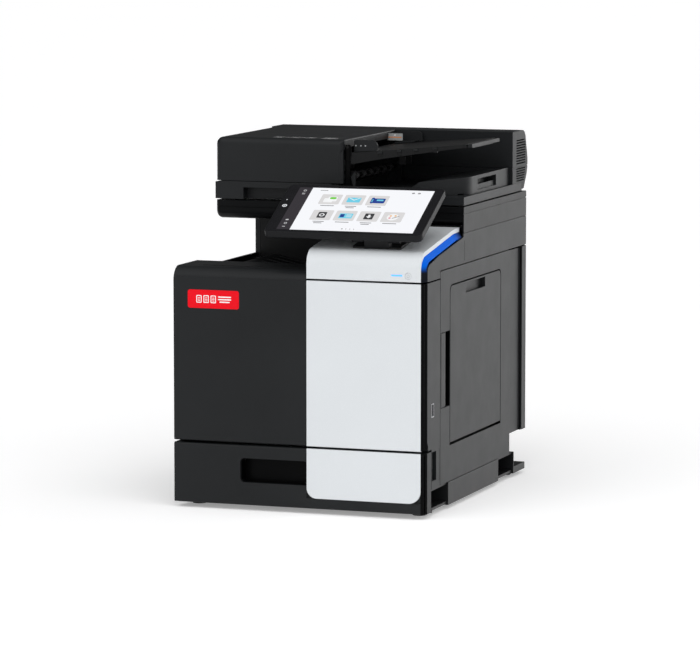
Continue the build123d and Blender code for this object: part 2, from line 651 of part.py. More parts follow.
def lift_plate():
    plate = block(LIFT_X - 3, 150, *LIFT_EDGES, LIFT_Z - 2, LIFT_Z)
    plate -= block(-40, 40, PAPER_MID - 15, PAPER_MID + 15, LIFT_Z - 3, LIFT_Z + 1)
    plate += rod_y(3, LIFT_X, *LIFT_EDGES, LIFT_Z)
    plate += rod_y(1.5, LIFT_X, LIFT_EDGES[0] - 6.5, LIFT_EDGES[1] + 6.5, LIFT_Z)
    return plate


def paper_guide(side):
    """Side fence of the drawer; side is -1 at the front and +1 at the rear."""
    face = PAPER_MID + side * 105.5
    fence = block(-60, 60, *sorted((face, face + side * 2.5)), PAN_LOW + 2.4, 74)
    fence += block(-42, 42, *sorted((face, face + side * 24)), PAN_LOW + 2.4, PAN_LOW + 5)
    for x in (-40, 0, 38):
        fence += along_x(outline((face + side * 1, PAN_LOW + 4), (face + side * 20, PAN_LOW + 4),
                                 (face + side * 1, 60)), x, x + 2)
    return fence


# ---- side door with its guide, lever and bypass tray ----
LEVER_Y = (-189.0, -158.0)
LEVER_Z = (165.5, 282.0)
LEVER_AXIS_Y = -186.5
LEVER_AXIS_X = 205.5


def side_door():
    body = block(186, RIGHT, SIDE_FRONT, SIDE_BACK, SIDE_LOW, SIDE_HIGH)
    body -= block(185, RIGHT - WALL, SIDE_FRONT + WALL, SIDE_BACK - WALL, SIDE_LOW + WALL,
                  SIDE_HIGH - WALL)
    y0, y1 = BYPASS_FRONT - BYPASS_SEAM, BYPASS_BACK + BYPASS_SEAM
    z0, z1 = 100.9, BYPASS_HIGH + BYPASS_SEAM
    body += along_x(outline((y0 - 2, z0 - 2), (y1 + 2, z0 - 2), (y1 + 2, z1 + 2, 12),
                            (y0 - 2, z1 + 2, 12)), 195.5, RIGHT - 1)
    body -= along_x(outline((y0, z0), (y1, z0), (y1, z1, 11), (y0, z1, 11)), 198, RIGHT + 1)
    body -= rod_y(2 + PIN_PLAY, BYPASS_AXIS_X, y0 - 7, y1 + 7, BYPASS_AXIS_Z)
    body += block(200, 207.5, y0 - 5, y0 - 2, BYPASS_AXIS_Z - 4, BYPASS_AXIS_Z + 4)
    body += block(200, 207.5, y1 + 2, y1 + 5, BYPASS_AXIS_Z - 4, BYPASS_AXIS_Z + 4)
    body -= rod_y(2 + PIN_PLAY, BYPASS_AXIS_X, y0 - 7, y1 + 7, BYPASS_AXIS_Z)
    ly0, ly1 = LEVER_Y[0] - 1.8, LEVER_Y[1] + 12.8
    lz0, lz1 = LEVER_Z[0] - 1.2, LEVER_Z[1] + 1.2
    body += block(199, RIGHT - 1, SIDE_FRONT + 0.5, ly1 + 1.5, lz0 - 2, lz1 + 2)
    body -= block(202, RIGHT + 1, ly0, ly1, lz0, lz1)
    body -= rod_z(1.2 + PIN_PLAY, LEVER_AXIS_X, LEVER_AXIS_Y, lz0 - 4, lz1 + 4)
    body += block(192, RIGHT - 1, SIDE_AXIS_Y - 10, SIDE_BACK - 1, SIDE_HIGH - 12, SIDE_HIGH - 1)
    body += block(192, RIGHT - 1, SIDE_AXIS_Y - 10, SIDE_BACK - 1, SIDE_LOW + 1, SIDE_LOW + 12)
    body += rod_z(2.5, SIDE_AXIS_X, SIDE_AXIS_Y, SIDE_HIGH - 4, SIDE_HIGH + 4.6)
    body += rod_z(2.5, SIDE_AXIS_X, SIDE_AXIS_Y, 40.6, SIDE_LOW + 4)
    return fillet(body.edges().filter_by(Axis.X).filter_by_position(Axis.Y, SIDE_FRONT - 0.1,
                                                                    SIDE_FRONT + 0.1), 4)


def side_door_guide():
    body = block(178, 185.9, -182, 150, 108, 372)
    body -= block(176, 181, -176, 144, 112, 366)
    for y in range(-160, 141, 25):
        body += block(174, 182, y, y + 2, 112, 366)
    body -= rod_y(13, 171, -190, 160, BELT_Z)
    for y in (-135.0, 103.0):
        cheek = block(164, 182, y, y + 2, BELT_Z - 8, BELT_Z + 8) - rod_y(3 + PIN_PLAY, 168, y - 1,
                                                                          y + 3, BELT_Z)
        body += cheek
    return body


def transfer_roller():
    body = rod_y(3, 168, -137, 107, BELT_Z)
    body += rod_y(10, 168, -128, 98, BELT_Z)
    return body


def door_lever():
    body = along_z(outline((RIGHT, LEVER_Y[0], 1), (RIGHT, LEVER_Y[1] - 12, 20),
                           (RIGHT - 3, LEVER_Y[1], 1), (RIGHT - 5.2, LEVER_Y[1], 1),
                           (RIGHT - 4, LEVER_Y[0] + 9), (RIGHT - 7, LEVER_Y[0] + 7),
                           (RIGHT - 7, LEVER_Y[0], 2)), *LEVER_Z)
    body += rod_z(1.2, LEVER_AXIS_X, LEVER_AXIS_Y, LEVER_Z[0] - 3, LEVER_Z[1] + 3)
    return body


def bypass_tray():
    y0, y1 = BYPASS_FRONT, BYPASS_BACK
    body = along_x(outline((y0, BYPASS_LOW), (y1, BYPASS_LOW), (y1, BYPASS_HIGH, 10),
                           (y0, BYPASS_HIGH, 10)), 199, RIGHT)
    body -= along_x(outline((y0 + 3, 122), (y1 - 3, 122), (y1 - 3, BYPASS_HIGH - 3, 8),
                            (y0 + 3, BYPASS_HIGH - 3, 8)), 198, RIGHT - 3)
    body -= block(198, 201.3, y0 - 1, y1 + 1, BYPASS_LOW - 1, 113)
    for y in (-100, -40, 18, 76):
        body += block(200, RIGHT - 2, y, y + 2, 118, 328)
    grip_y = (-63.4, 37.0)
    body += block(200, RIGHT - 1, grip_y[0] - 2, grip_y[1] + 2, 331.5, BYPASS_HIGH - 1)
    body -= block(202, RIGHT + 1, *grip_y, 333.8, 349.7)
    body += rod_y(2, BYPASS_AXIS_X, y0 - 5, y1 + 5, BYPASS_AXIS_Z)
    return body


def bypass_extension():
    body = block(200.2, 202.2, -30, 8, 140, 320)
    body += block(202.2, 205.4, -28, 6, 300, 316)
    return body


# ---- scanner ----
def scanner_housing():
    body = block(LID_LEFT, RIGHT, SCAN_FRONT, BACK, SCAN_LOW, SCAN_TOP)
    front_low = body.edges().filter_by(Axis.X).sort_by(lambda e: e.center().Y + e.center().Z)[0]
    body = fillet(front_low, 14)
    left_low = body.edges().filter_by(Axis.Y).sort_by(lambda e: e.center().X + e.center().Z)[0]
    body = fillet(left_low, 8)
    body += block(RIGHT - WALL, RIGHT, SCAN_FRONT, BACK, SCAN_SKIRT, SCAN_LOW + 15)
    body += block(LEFT + 12, RIGHT, BACK - WALL, BACK, SCAN_LOW, SCAN_LOW + 15)
    body -= block(LID_LEFT + 3, RIGHT - 3, SCAN_FRONT + 4, BACK - 3, SCAN_LOW + 16, SCAN_TOP - 3)
    body -= block(LID_LEFT + 12, RIGHT - 12, SCAN_FRONT + 18, BACK - 12, SCAN_LOW + 3, SCAN_LOW + 17)
    body -= block(-200, -180, -38, 192, SCAN_TOP - 4, SCAN_TOP + 1)
    body -= block(-170, 196, -38, 192, SCAN_TOP - 4, SCAN_TOP + 1)
    groove = block(LID_LEFT - 1, RIGHT + 1, SCAN_FRONT - 1, BACK + 1, SCAN_GROOVE - 0.7,
                   SCAN_GROOVE + 0.7)
    groove -= block(LID_LEFT + 1, RIGHT - 1, SCAN_FRONT + 1, BACK - 1, SCAN_GROOVE - 2, SCAN_GROOVE + 2)
    body -= groove
    body += rod_x(3, LID_LEFT + 10, RIGHT - 10, 80, 452)
    return body


def scanner_glasses():
    platen = block(-169.8, 195.8, -37.8, 191.8, SCAN_TOP - 3, SCAN_TOP - 0.2)
    slit = block(-199.8, -180.2, -37.8, 191.8, SCAN_TOP - 3, SCAN_TOP - 0.2)
    return [platen, slit]


def scan_carriage():
    body = block(-180, -150, -45, 200, 457, 465)
    body += block(-175, -155, 70, 90, 447, 457)
    body -= rod_x(3 + PIN_PLAY, -190, -140, 80, 452)
    body -= block(-169, -161, -35, 190, 463, 466)
    return body


def lid_hinges():
    hinges = []
    for x in (-LID_HINGE_X, LID_HINGE_X):
        bracket = along_x(outline((LID_AXIS_Y - 6, SCAN_TOP), (LID_AXIS_Y + 12, SCAN_TOP),
                                  (LID_AXIS_Y + 6, LID_AXIS_Z + 6, 5),
                                  (LID_AXIS_Y - 6, LID_AXIS_Z + 6, 5)), x - 15, x + 15)
        bracket += rod_x(LID_PIN, x - 22, x + 22, LID_AXIS_Y, LID_AXIS_Z)
        hinges.append(bracket)
    return hinges


# ---- lid and document feeder ----
def adf_base():
    body = block(LID_LEFT, RIGHT, SCAN_FRONT, 234.5, LID_LOW, LID_DECK)
    body -= block(-192, 202, -47, 202, LID_LOW - 1, LID_LOW + 3)
    body -= block(LID_LEFT + WALL, RIGHT - WALL, 205, 240, LID_LOW + WALL, LID_DECK + 1)
    body += block(LID_LEFT, FEED_RIGHT, SCAN_FRONT, REAR_FRONT - 0.4, LID_DECK - 1, FEED_SEAM)
    body -= block(LID_LEFT + WALL, FEED_RIGHT - 8, SCAN_FRONT + WALL, REAR_FRONT - 3, LID_DECK,
                  FEED_SEAM + 1)
    body += block(LID_LEFT + 6, FEED_RIGHT - 12, SCAN_FRONT, SCAN_FRONT + WALL, LID_DECK, FEED_SEAM + 1.4)
    body += block(LID_LEFT + 2, -60, SCAN_FRONT + 2, -52, LID_DECK - 1, 496)
    body -= block(-162, -60, SCAN_FRONT - 1, -58, LID_LOW - 1, 491.8)
    for y in (-64.0, 166.0):
        cheek = block(-60, FEED_RIGHT - 9, y, y + 3, LID_DECK - 0.5, 532)
        cheek += block(FEED_RIGHT - 10, 24, y, y + 3, LID_DECK - 0.5, 522)
        cheek -= rod_y(3 + PIN_PLAY, FEED_ROLL[0], y - 1, y + 4, FEED_ROLL[1])
        cheek -= rod_y(3 + PIN_PLAY, EXIT_ROLL[0], y - 1, y + 4, EXIT_ROLL[1])
        body += cheek
    post = block(9, 16.2, -67.6, -64.4, LID_DECK - 0.5, 564)
    body += post - rod_y(2 + PIN_PLAY, TRAY_AXIS[0], -69, -63, TRAY_AXIS[1])
    for y in FEED_LUGS:
        lug = along_y(outline((LID_LEFT + 6, FEED_SEAM - 6), (-198, FEED_SEAM - 6), (-198, 508, 3),
                              (LID_LEFT + 0.7, 508, 2.7), (LID_LEFT + 0.7, 502.3, 2.7)), y - 3, y + 3)
        lug -= rod_y(1.5 + PIN_PLAY, FEED_AXIS[0], y - 4, y + 4, FEED_AXIS[1])
        body += lug
    return body


def platen_pad():
    return block(-190, 200, -45, 200, SCAN_TOP + 0.8, LID_LOW + 2.9)


def rear_profile(inset):
    return outline((REAR_FRONT + inset, LID_DECK + 0.3 + inset), (REAR_FRONT + inset, LID_TOP - inset),
                   (252 - inset, LID_TOP - inset, 18 - inset),
                   (LID_REAR + REAR_BULGE - inset, 512, 40 - inset),
                   (246 - inset, 475.2 + inset, 5 - inset), (236 + inset, 475.2 + inset),
                   (236 + inset, LID_DECK + 0.3 + inset))


def adf_rear_housing():
    body = along_x(rear_profile(0), LID_LEFT, RIGHT)
    body -= along_x(rear_profile(WALL), LID_LEFT + WALL, RIGHT - WALL)
    for x in (-LID_HINGE_X, LID_HINGE_X):
        body -= block(x - 16.5, x + 16.5, 230, 268, 470, 495)
        for side in (-1, 1):
            lug_x = sorted((x + side * 17, x + side * 20.5))
            lug = along_x(rear_profile(0.6), *lug_x) & block(*lug_x, 225, 256, 470, 497)
            lug += block(*lug_x, 237, 252, 478, 492)
            body += lug
        body += block(x - 20.5, x + 20.5, 226, 262, 495, 497)
        body -= rod_x(LID_PIN + PIN_PLAY, x - 24, x + 24, LID_AXIS_Y, LID_AXIS_Z)
    for row in range(10):
        low = 517.2 + row * 4.2
        shorten = max(0.0, row - 7) * 3
        body -= block(RIGHT - 4, RIGHT + 1, 204.4, 254.5 - shorten, low, low + 2.2)
    for row in range(6):
        low = 489 + row * 3.9
        body -= block(RIGHT - 4, RIGHT + 1, 204.4, 254 - (5 - row) * 1.5, low, low + 2)
    body -= rod_y(2 + PIN_PLAY, TRAY_AXIS[0], REAR_FRONT - 1, REAR_FRONT + 4, TRAY_AXIS[1])
    seam = block(LID_LEFT - 1, RIGHT + 1, REAR_FRONT - 1, 280, 512, 513.2)
    seam -= block(LID_LEFT + 1, RIGHT - 1, REAR_FRONT + 1, 280, 510, 515)
    body -= seam
    return body


def adf_feed_cover():
    top_right = 7.8
    outer = along_y(outline((LID_LEFT, COVER_LOW), (FEED_RIGHT, COVER_LOW), (FEED_RIGHT, 548),
                            (top_right, 556), (top_right, LID_TOP, 2), (LID_LEFT, LID_TOP, 11)),
                    SCAN_FRONT, REAR_FRONT - 0.6)
    front_top = outer.edges().filter_by(Axis.X).sort_by(lambda e: e.center().Y - e.center().Z)[0]
    outer = fillet(front_top, 10)
    inner = along_y(outline((LID_LEFT + WALL, COVER_LOW - 1), (FEED_RIGHT - WALL, COVER_LOW - 1),
                            (FEED_RIGHT - WALL, 549), (top_right - WALL, 557),
                            (top_right - WALL, LID_TOP - WALL, 1), (LID_LEFT + WALL, LID_TOP - WALL, 9)),
                    SCAN_FRONT + WALL, REAR_FRONT - 0.6 - WALL)
    inner_edge = inner.edges().filter_by(Axis.X).sort_by(lambda e: e.center().Y - e.center().Z)[0]
    inner = fillet(inner_edge, 8)
    body = outer - inner
    body -= block(-12, 12, -66.5, 171, COVER_LOW - 2, 559)
    for y in FEED_LUGS:
        body -= block(LID_LEFT - 1, -195, y - 3.6, y + 3.6, COVER_LOW - 1, 511)
        for side in (-1, 1):
            ear_y = sorted((y + side * 3.8, y + side * 7))
            body += block(LID_LEFT + 1, -201, *ear_y, COVER_LOW, 510)
        body += rod_y(1.5, FEED_AXIS[0], y - 6, y + 6, FEED_AXIS[1])
    return body


def roller_set(spot, radius, y_spots, half):
    body = rod_y(3, spot[0], -64.1, 171, spot[1])
    for y in y_spots:
        body += rod_y(radius, spot[0], y - half, y + half, spot[1])
    return body


def adf_exit_tray():
    plan = outline((10, -72), (128, -66, 30), (204, -34, 34), (204, 181), (10, 181))
    body = along_z(plan, LID_DECK, 516)
    body -= along_y(outline((9, 490), (118, 497), (132, 507, 6), (206, 514.5), (206, 530), (9, 530)),
                    -80, 190)
    body -= block(9, 26, -73, 172, LID_DECK - 1, 530)
    body -= block(188, 206, 14, 112, 491, 508.5)
    body += block(198.5, 200.5, 14, 112, 491, 499)
    body -= block(14, 196, -40, 176, LID_DECK - 1, 488)
    return body


def document_tray():
    profile = outline((TRAY_START, 531, 0), (66, 541.5, 20), (TRAY_END, tray_top(TRAY_END) - 5),
                      (TRAY_END, tray_top(TRAY_END)), (TRAY_START, TRAY_Z))
    body = along_y(profile, -66, 181)
    rim = along_z(outline((TRAY_START, -63.4), (TRAY_END, -22, 12), (TRAY_END, 143, 12),
                          (TRAY_START, 180)), 520, 580)
    body = body & rim
    hollow = along_z(outline((TRAY_START + 12, -55), (TRAY_END - 5, -14, 8), (TRAY_END - 5, 135, 8),
                             (TRAY_START + 12, 172)), 520, 580)
    under = along_y(outline((TRAY_START, 520), (TRAY_END, 520), (TRAY_END, tray_top(TRAY_END) - 2.4),
                            (TRAY_START, TRAY_Z - 2.4)), -70, 190)
    body -= hollow & under
    for y in (30.0, 60.0):
        body += block(66, 76.5, y, y + 3, 526.5, tray_top(66) - 1)
    for y in (-1, 1):
        track = block(28, 31, *sorted((61.5 + y * 22, 61.5 + y * 95)), TRAY_Z - 6, 580)
        body -= track
    for y in (-63.4, 176.0):
        ear = along_y(outline((TRAY_START - 1.4, 545), (18, 545), (16.4, 563.9, 3.8),
                              (TRAY_START - 1.4, 563.9, 3.8)), y, y + 3)
        body += ear
    body += rod_y(2, TRAY_AXIS[0], -67.6, -62, TRAY_AXIS[1])
    body += rod_y(2, TRAY_AXIS[0], 178, 186, TRAY_AXIS[1])
    return body


def document_guide(side):
    """Side fence on the document tray; side is -1 at the front and +1 at the rear."""
    face = 61.5 + side * 112.0
    lift = 0.5
    high = LID_TOP - 1.2
    fence = along_y(outline((18.5, tray_top(18.5) + lift), (58, tray_top(58) + lift), (58, high, 9),
                            (18.5, high, 2)), *sorted((face, face + side * 2.4)))
    foot = along_y(outline((18, tray_top(18) + lift), (52, tray_top(52) + lift),
                           (52, tray_top(52) + lift + 2), (18, tray_top(18) + lift + 2)),
                   *sorted((face, face - side * 26)))
    fence += foot
    return fence


def slanted(x0, x1, drop_high, drop_low):
    """(X, Z) strip between two depths below the document tray's upper face."""
    return outline((x0, tray_top(x0) - drop_low), (x1, tray_top(x1) - drop_low),
                   (x1, tray_top(x1) - drop_high), (x0, tray_top(x0) - drop_high))


def tray_extension():
    plate = along_y(slanted(104, 198, 5.7, 7.7), 8, 113)
    lip = along_y(slanted(195.7, 203, 0.4, 6.2), -12, 133)
    return plate + lip


# ---- control panel ----
def tilted(shape):
    """Place a shape drawn flat, with its lower edge at Y = 0 and its top face at Z = 0."""
    return Pos(SCREEN_MID, FRONT + 0.6, SCREEN_LOW_Z) * Rot(SCREEN_TILT, 0, 0) * shape


def panel_outline(wide, y0, y1, radius):
    return outline((-wide / 2, y0, radius), (wide / 2, y0, radius), (wide / 2, y1, radius),
                   (-wide / 2, y1, radius))


def control_panel():
    shell = along_z(panel_outline(SCREEN_WIDE, 0, SCREEN_LONG, 9), -SCREEN_THICK, 0)
    shell = fillet(shell.edges().group_by(Axis.Z)[0], 4)
    shell = fillet(shell.edges().group_by(Axis.Z)[-1], 1.2)
    shell -= along_z(panel_outline(SCREEN_WIDE - 4, 2, SCREEN_LONG - 2, 7.5), -1.6, 1)
    shell -= along_z(panel_outline(SCREEN_WIDE - 14, 8, SCREEN_LONG - 8, 4), -SCREEN_THICK + 2.5,
                     -1.7 - 1.8)
    for side in (-1, 1):
        middle = BRACKET_MID - SCREEN_MID + side * 30
        knuckle_x = (middle - 9, middle + 9)
        arm = along_x(outline((SCREEN_PIN_ALONG - 6, -SCREEN_THICK + 1),
                              (SCREEN_PIN_ALONG - 5.6, -SCREEN_PIN_DROP - 5.6, 5.4),
                              (SCREEN_PIN_ALONG + 5.6, -SCREEN_PIN_DROP - 5.6, 5.4),
                              (SCREEN_PIN_ALONG + 6, -SCREEN_THICK + 1)), *knuckle_x)
        arm -= rod_x(2 + PIN_PLAY, middle - 10, middle + 10, SCREEN_PIN_ALONG, -SCREEN_PIN_DROP)
        shell += arm
    return tilted(shell)


def panel_screen():
    glass = along_z(panel_outline(SCREEN_WIDE - 4.4, 2.2, SCREEN_LONG - 2.2, 7.3), -1.5, -0.1)
    return tilted(glass)


def screen_axis():
    """Depth and height of the panel's tilt axis."""
    tilt = math.radians(SCREEN_TILT)
    y = FRONT + 0.6 + SCREEN_PIN_ALONG * math.cos(tilt) + SCREEN_PIN_DROP * math.sin(tilt)
    z = SCREEN_LOW_Z + SCREEN_PIN_ALONG * math.sin(tilt) - SCREEN_PIN_DROP * math.cos(tilt)
    return y, z


def panel_bracket():
    y, z = screen_axis()
    x0, x1 = BRACKET_MID - 39.5, BRACKET_MID + 39.5
    front, rear = y + 2, y + 60
    foot = along_x(outline((front, cover_top(front)), (rear, cover_top(rear)),
                           (rear, cover_top(rear) + 4, 3), (front, cover_top(front) + 4, 3)), x0, x1)
    neck = along_x(outline((front, cover_top(front) + 1), (y + 18, cover_top(y + 18) + 1),
                           (y + 4.8, z + 4.8, 4.7), (y - 4.8, z + 4.8, 4.7)), BRACKET_MID - 20,
                   BRACKET_MID + 20)
    return foot + neck + rod_x(2, BRACKET_MID - 41, BRACKET_MID + 41, y, z)


# ---- fasteners ----
SCREW_SPOTS = [(x, z) for x in (-195.0, 195.0) for z in (130.0, 250.0, 425.0)] + [(0.0, 60.0),
                                                                                  (0.0, 425.0)]


def cover_screws():
    screws = []
    for x, z in SCREW_SPOTS:
        head = rod_y(3.6, x, BACK, BACK + 1.8, z)
        head = fillet(head.edges().sort_by(Axis.Y)[-1], 0.8)
        head -= block(x - 2.2, x + 2.2, BACK + 0.9, BACK + 3, z - 0.4, z + 0.4)
        head -= block(x - 0.4, x + 0.4, BACK + 0.9, BACK + 3, z - 2.2, z + 2.2)
        screws.append(head)
    return screws


# ---- write every sub-part ----
save("base_frame", base_frame())
save("rubber_feet", *rubber_feet())
save("frame_plates", frame_plate(PLATE_FRONT, 405, True), frame_plate(PLATE_REAR, 440, False))
save("pickup_roller", pickup_roller())
save("transfer_belt", *transfer_belt())
save("drum_units", *drum_units())
save("toner_cartridges", *toner_cartridges())
save("laser_unit", laser_unit())
save("fuser_unit", fuser_unit())
save("main_board", main_board())
save("left_cover", left_cover())
save("rear_cover", rear_cover())
save("mains_inlet", mains_inlet())
save("exhaust_fan", exhaust_fan())
save("right_front_cover", right_front_cover())
save("right_upper_cover", right_upper_cover())
save("front_upper_cover", front_upper_cover())
save("accent_strip", accent_strip())
save("status_light", status_light())
save("power_key", power_key())
save("top_front_cover", top_front_cover())
save("output_tray", output_tray())
save("bay_wall", bay_wall())
save("exit_roller", exit_roller())
save("usb_port", usb_port())
save("main_switch", main_switch())
save("front_door", front_door())
save("front_door_panel", front_door_panel())
save("badge_plate", badge_plate())
save("drawer_front", drawer_front())
save("drawer_panel", drawer_panel())
save("drawer_pan", drawer_pan())
save("lift_plate", lift_plate())
save("paper_guide_front", paper_guide(-1))
save("paper_guide_rear", paper_guide(1))
save("side_door", side_door())
save("side_door_guide", side_door_guide())
save("transfer_roller", transfer_roller())
save("door_lever", door_lever())
save("bypass_tray", bypass_tray())
save("bypass_extension", bypass_extension())
save("scanner_housing", scanner_housing())
save("scanner_glasses", *scanner_glasses())
save("scan_carriage", scan_carriage())
save("lid_hinges", *lid_hinges())
save("adf_base", adf_base())
save("platen_pad", platen_pad())
save("adf_rear_housing", adf_rear_housing())
save("adf_feed_cover", adf_feed_cover())
save("adf_feed_roller", roller_set(FEED_ROLL, 10, (20, 50, 80), 9))
save("adf_exit_roller", roller_set(EXIT_ROLL, 6, (-36, -2, 32, 66, 100, 134), 5))
save("adf_exit_tray", adf_exit_tray())
save("document_tray", document_tray())
save("document_guide_front", document_guide(-1))
save("document_guide_rear", document_guide(1))
save("tray_extension", tray_extension())
save("control_panel", control_panel())
save("panel_screen", panel_screen())
save("panel_bracket", panel_bracket())
save("cover_screws", *cover_screws())
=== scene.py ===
import json
import math

import bmesh
import bpy
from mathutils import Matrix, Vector


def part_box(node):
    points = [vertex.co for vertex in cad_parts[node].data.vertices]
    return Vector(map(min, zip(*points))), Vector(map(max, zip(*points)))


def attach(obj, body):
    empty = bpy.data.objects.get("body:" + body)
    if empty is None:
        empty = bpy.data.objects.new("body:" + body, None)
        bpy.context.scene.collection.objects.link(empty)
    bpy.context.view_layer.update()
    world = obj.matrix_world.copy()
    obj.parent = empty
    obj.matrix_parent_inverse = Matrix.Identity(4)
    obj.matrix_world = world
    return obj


# Looks of the photocopier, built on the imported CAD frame. Metres.
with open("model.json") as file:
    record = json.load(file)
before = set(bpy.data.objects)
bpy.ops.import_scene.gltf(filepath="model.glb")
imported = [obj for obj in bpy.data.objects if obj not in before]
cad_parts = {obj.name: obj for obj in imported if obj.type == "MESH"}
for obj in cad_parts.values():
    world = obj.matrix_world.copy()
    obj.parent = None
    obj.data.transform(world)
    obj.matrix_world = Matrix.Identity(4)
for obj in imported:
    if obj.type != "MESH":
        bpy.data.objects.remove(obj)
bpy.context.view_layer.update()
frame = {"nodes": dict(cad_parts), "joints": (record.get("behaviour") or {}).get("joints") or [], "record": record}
nodes = frame["nodes"]
scene = bpy.context.scene
MM = 0.001


# ---------------------------------------------------------------- materials
class Graph:
    """Shorthand for adding and joining the nodes of one node tree."""

    def __init__(self, node_tree):
        self.nodes, self.links = node_tree.nodes, node_tree.links
        self.nodes.clear()

    def span(self, value, low, high, from_low=0.0, from_high=1.0, smooth=False):
        node = self.nodes.new("ShaderNodeMapRange")
        node.clamp = True
        if smooth:
            node.interpolation_type = "SMOOTHSTEP"
        node.inputs["From Min"].default_value = from_low
        node.inputs["From Max"].default_value = from_high
        node.inputs["To Min"].default_value = low
        node.inputs["To Max"].default_value = high
        self.links.new(value, node.inputs["Value"])
        return node.outputs["Result"]

    def math(self, kind, a, b=0.0):
        node = self.nodes.new("ShaderNodeMath")
        node.operation = kind
        for socket, value in ((node.inputs[0], a), (node.inputs[1], b)):
            if isinstance(value, (int, float)):
                socket.default_value = value
            else:
                self.links.new(value, socket)
        return node.outputs[0]


class Tree(Graph):
    """A small builder for one node material."""

    def __init__(self, name):
        self.material = bpy.data.materials.new(name)
        self.material.use_nodes = True
        super().__init__(self.material.node_tree)
        self.output = self.nodes.new("ShaderNodeOutputMaterial")
        self.shader = self.nodes.new("ShaderNodeBsdfPrincipled")
        self.links.new(self.shader.outputs["BSDF"], self.output.inputs["Surface"])
        self.place = self.nodes.new("ShaderNodeTexCoord").outputs["Object"]

    def set(self, socket, value):
        self.shader.inputs[socket].default_value = value

    def link(self, out, socket):
        self.links.new(out, self.shader.inputs[socket])

    def noise(self, scale, detail=3.0, rough=0.55, stretch=(1, 1, 1)):
        mapping = self.nodes.new("ShaderNodeMapping")
        mapping.inputs["Scale"].default_value = stretch
        self.links.new(self.place, mapping.inputs["Vector"])
        node = self.nodes.new("ShaderNodeTexNoise")
        node.inputs["Scale"].default_value = scale
        node.inputs["Detail"].default_value = detail
        node.inputs["Roughness"].default_value = rough
        self.links.new(mapping.outputs["Vector"], node.inputs["Vector"])
        return node.outputs["Fac"]

    def grain(self, scale):
        """Cells of a moulded grain, as a height."""
        node = self.nodes.new("ShaderNodeTexVoronoi")
        node.inputs["Scale"].default_value = scale
        node.feature = "SMOOTH_F1"
        self.links.new(self.place, node.inputs["Vector"])
        return node.outputs["Distance"]

    def mix(self, fac, a, b):
        node = self.nodes.new("ShaderNodeMix")
        node.data_type = "RGBA"
        for socket, value in ((node.inputs[0], fac), (node.inputs[6], a), (node.inputs[7], b)):
            if hasattr(value, "links"):
                self.links.new(value, socket)
            elif isinstance(value, (int, float)):
                socket.default_value = value
            else:
                socket.default_value = (*value[:3], 1)
        return node.outputs[2]

    def axes(self):
        node = self.nodes.new("ShaderNodeSeparateXYZ")
        self.links.new(self.place, node.inputs[0])
        return node.outputs

    def bump(self, height, strength, distance, under=None):
        node = self.nodes.new("ShaderNodeBump")
        node.inputs["Strength"].default_value = strength
        node.inputs["Distance"].default_value = distance
        self.links.new(height, node.inputs["Height"])
        if under is not None:
            self.links.new(under, node.inputs["Normal"])
        return node.outputs["Normal"]

    def reach(self, dx, dz):
        """Distance from an axis that runs front to back."""
        squares = self.math("ADD", self.math("MULTIPLY", dx, dx), self.math("MULTIPLY", dz, dz))
        return self.math("SQRT", squares)

    def rounded(self, radius):
        node = self.nodes.new("ShaderNodeBevel")
        node.samples = 4
        node.inputs["Radius"].default_value = radius
        return node.outputs["Normal"]


def tint(color, factor):
    return tuple(min(1.0, c * factor) for c in color[:3])


GRAIN_SCALE = 1500      # cells of moulded grain per metre
GRAIN_DEPTH = 0.00003


def plastic(name, color, rough=0.5, level=0.35, grain=0.25, radius=0.0007, spread=0.12):
    """Moulded plastic: fine spark grain, slight cloudiness in tone and gloss, softened edges."""
    t = Tree(name)
    cloud = t.noise(7, 4)
    speck = t.noise(900, 2)
    tone = t.mix(t.span(cloud, 0, 1, 0.3, 0.7), tint(color, 1 - spread), tint(color, 1 + spread))
    flecks = t.span(speck, 0.0, 0.10, 0.55, 0.75)
    t.link(t.mix(flecks, tone, tint(color, 1.8)), "Base Color")
    t.link(t.span(t.noise(24, 5), rough - 0.02, rough + 0.03, 0.3, 0.7), "Roughness")
    t.set("Specular IOR Level", level)
    t.link(t.bump(t.grain(GRAIN_SCALE), grain, GRAIN_DEPTH, t.rounded(radius)), "Normal")
    return t.material


def metal(name, color, rough=0.32, brush=(1, 60, 60)):
    """Plated sheet: streaks along the rolling direction and a fine brushed bump."""
    t = Tree(name)
    streak = t.noise(14, 6, 0.65, brush)
    t.link(t.mix(t.span(streak, 0, 1, 0.35, 0.65), tint(color, 0.8), tint(color, 1.12)), "Base Color")
    t.set("Metallic", 1.0)
    t.set("Specular IOR Level", 0.5)
    t.link(t.span(t.noise(40, 4, 0.6, brush), rough - 0.08, rough + 0.12, 0.3, 0.7), "Roughness")
    t.link(t.bump(streak, 0.12, 0.00005, t.rounded(0.0003)), "Normal")
    return t.material


def rubber(name, color):
    """Matt rubber with a little dust."""
    t = Tree(name)
    dust = t.noise(60, 5, 0.7)
    t.link(t.mix(t.span(dust, 0, 1, 0.45, 0.75), color, tint(color, 1.9)), "Base Color")
    t.link(t.span(t.noise(200, 3), 0.70, 0.88, 0.3, 0.7), "Roughness")
    t.set("Specular IOR Level", 0.3)
    t.link(t.bump(t.noise(1300, 3), 0.35, 0.00006, t.rounded(0.0006)), "Normal")
    return t.material


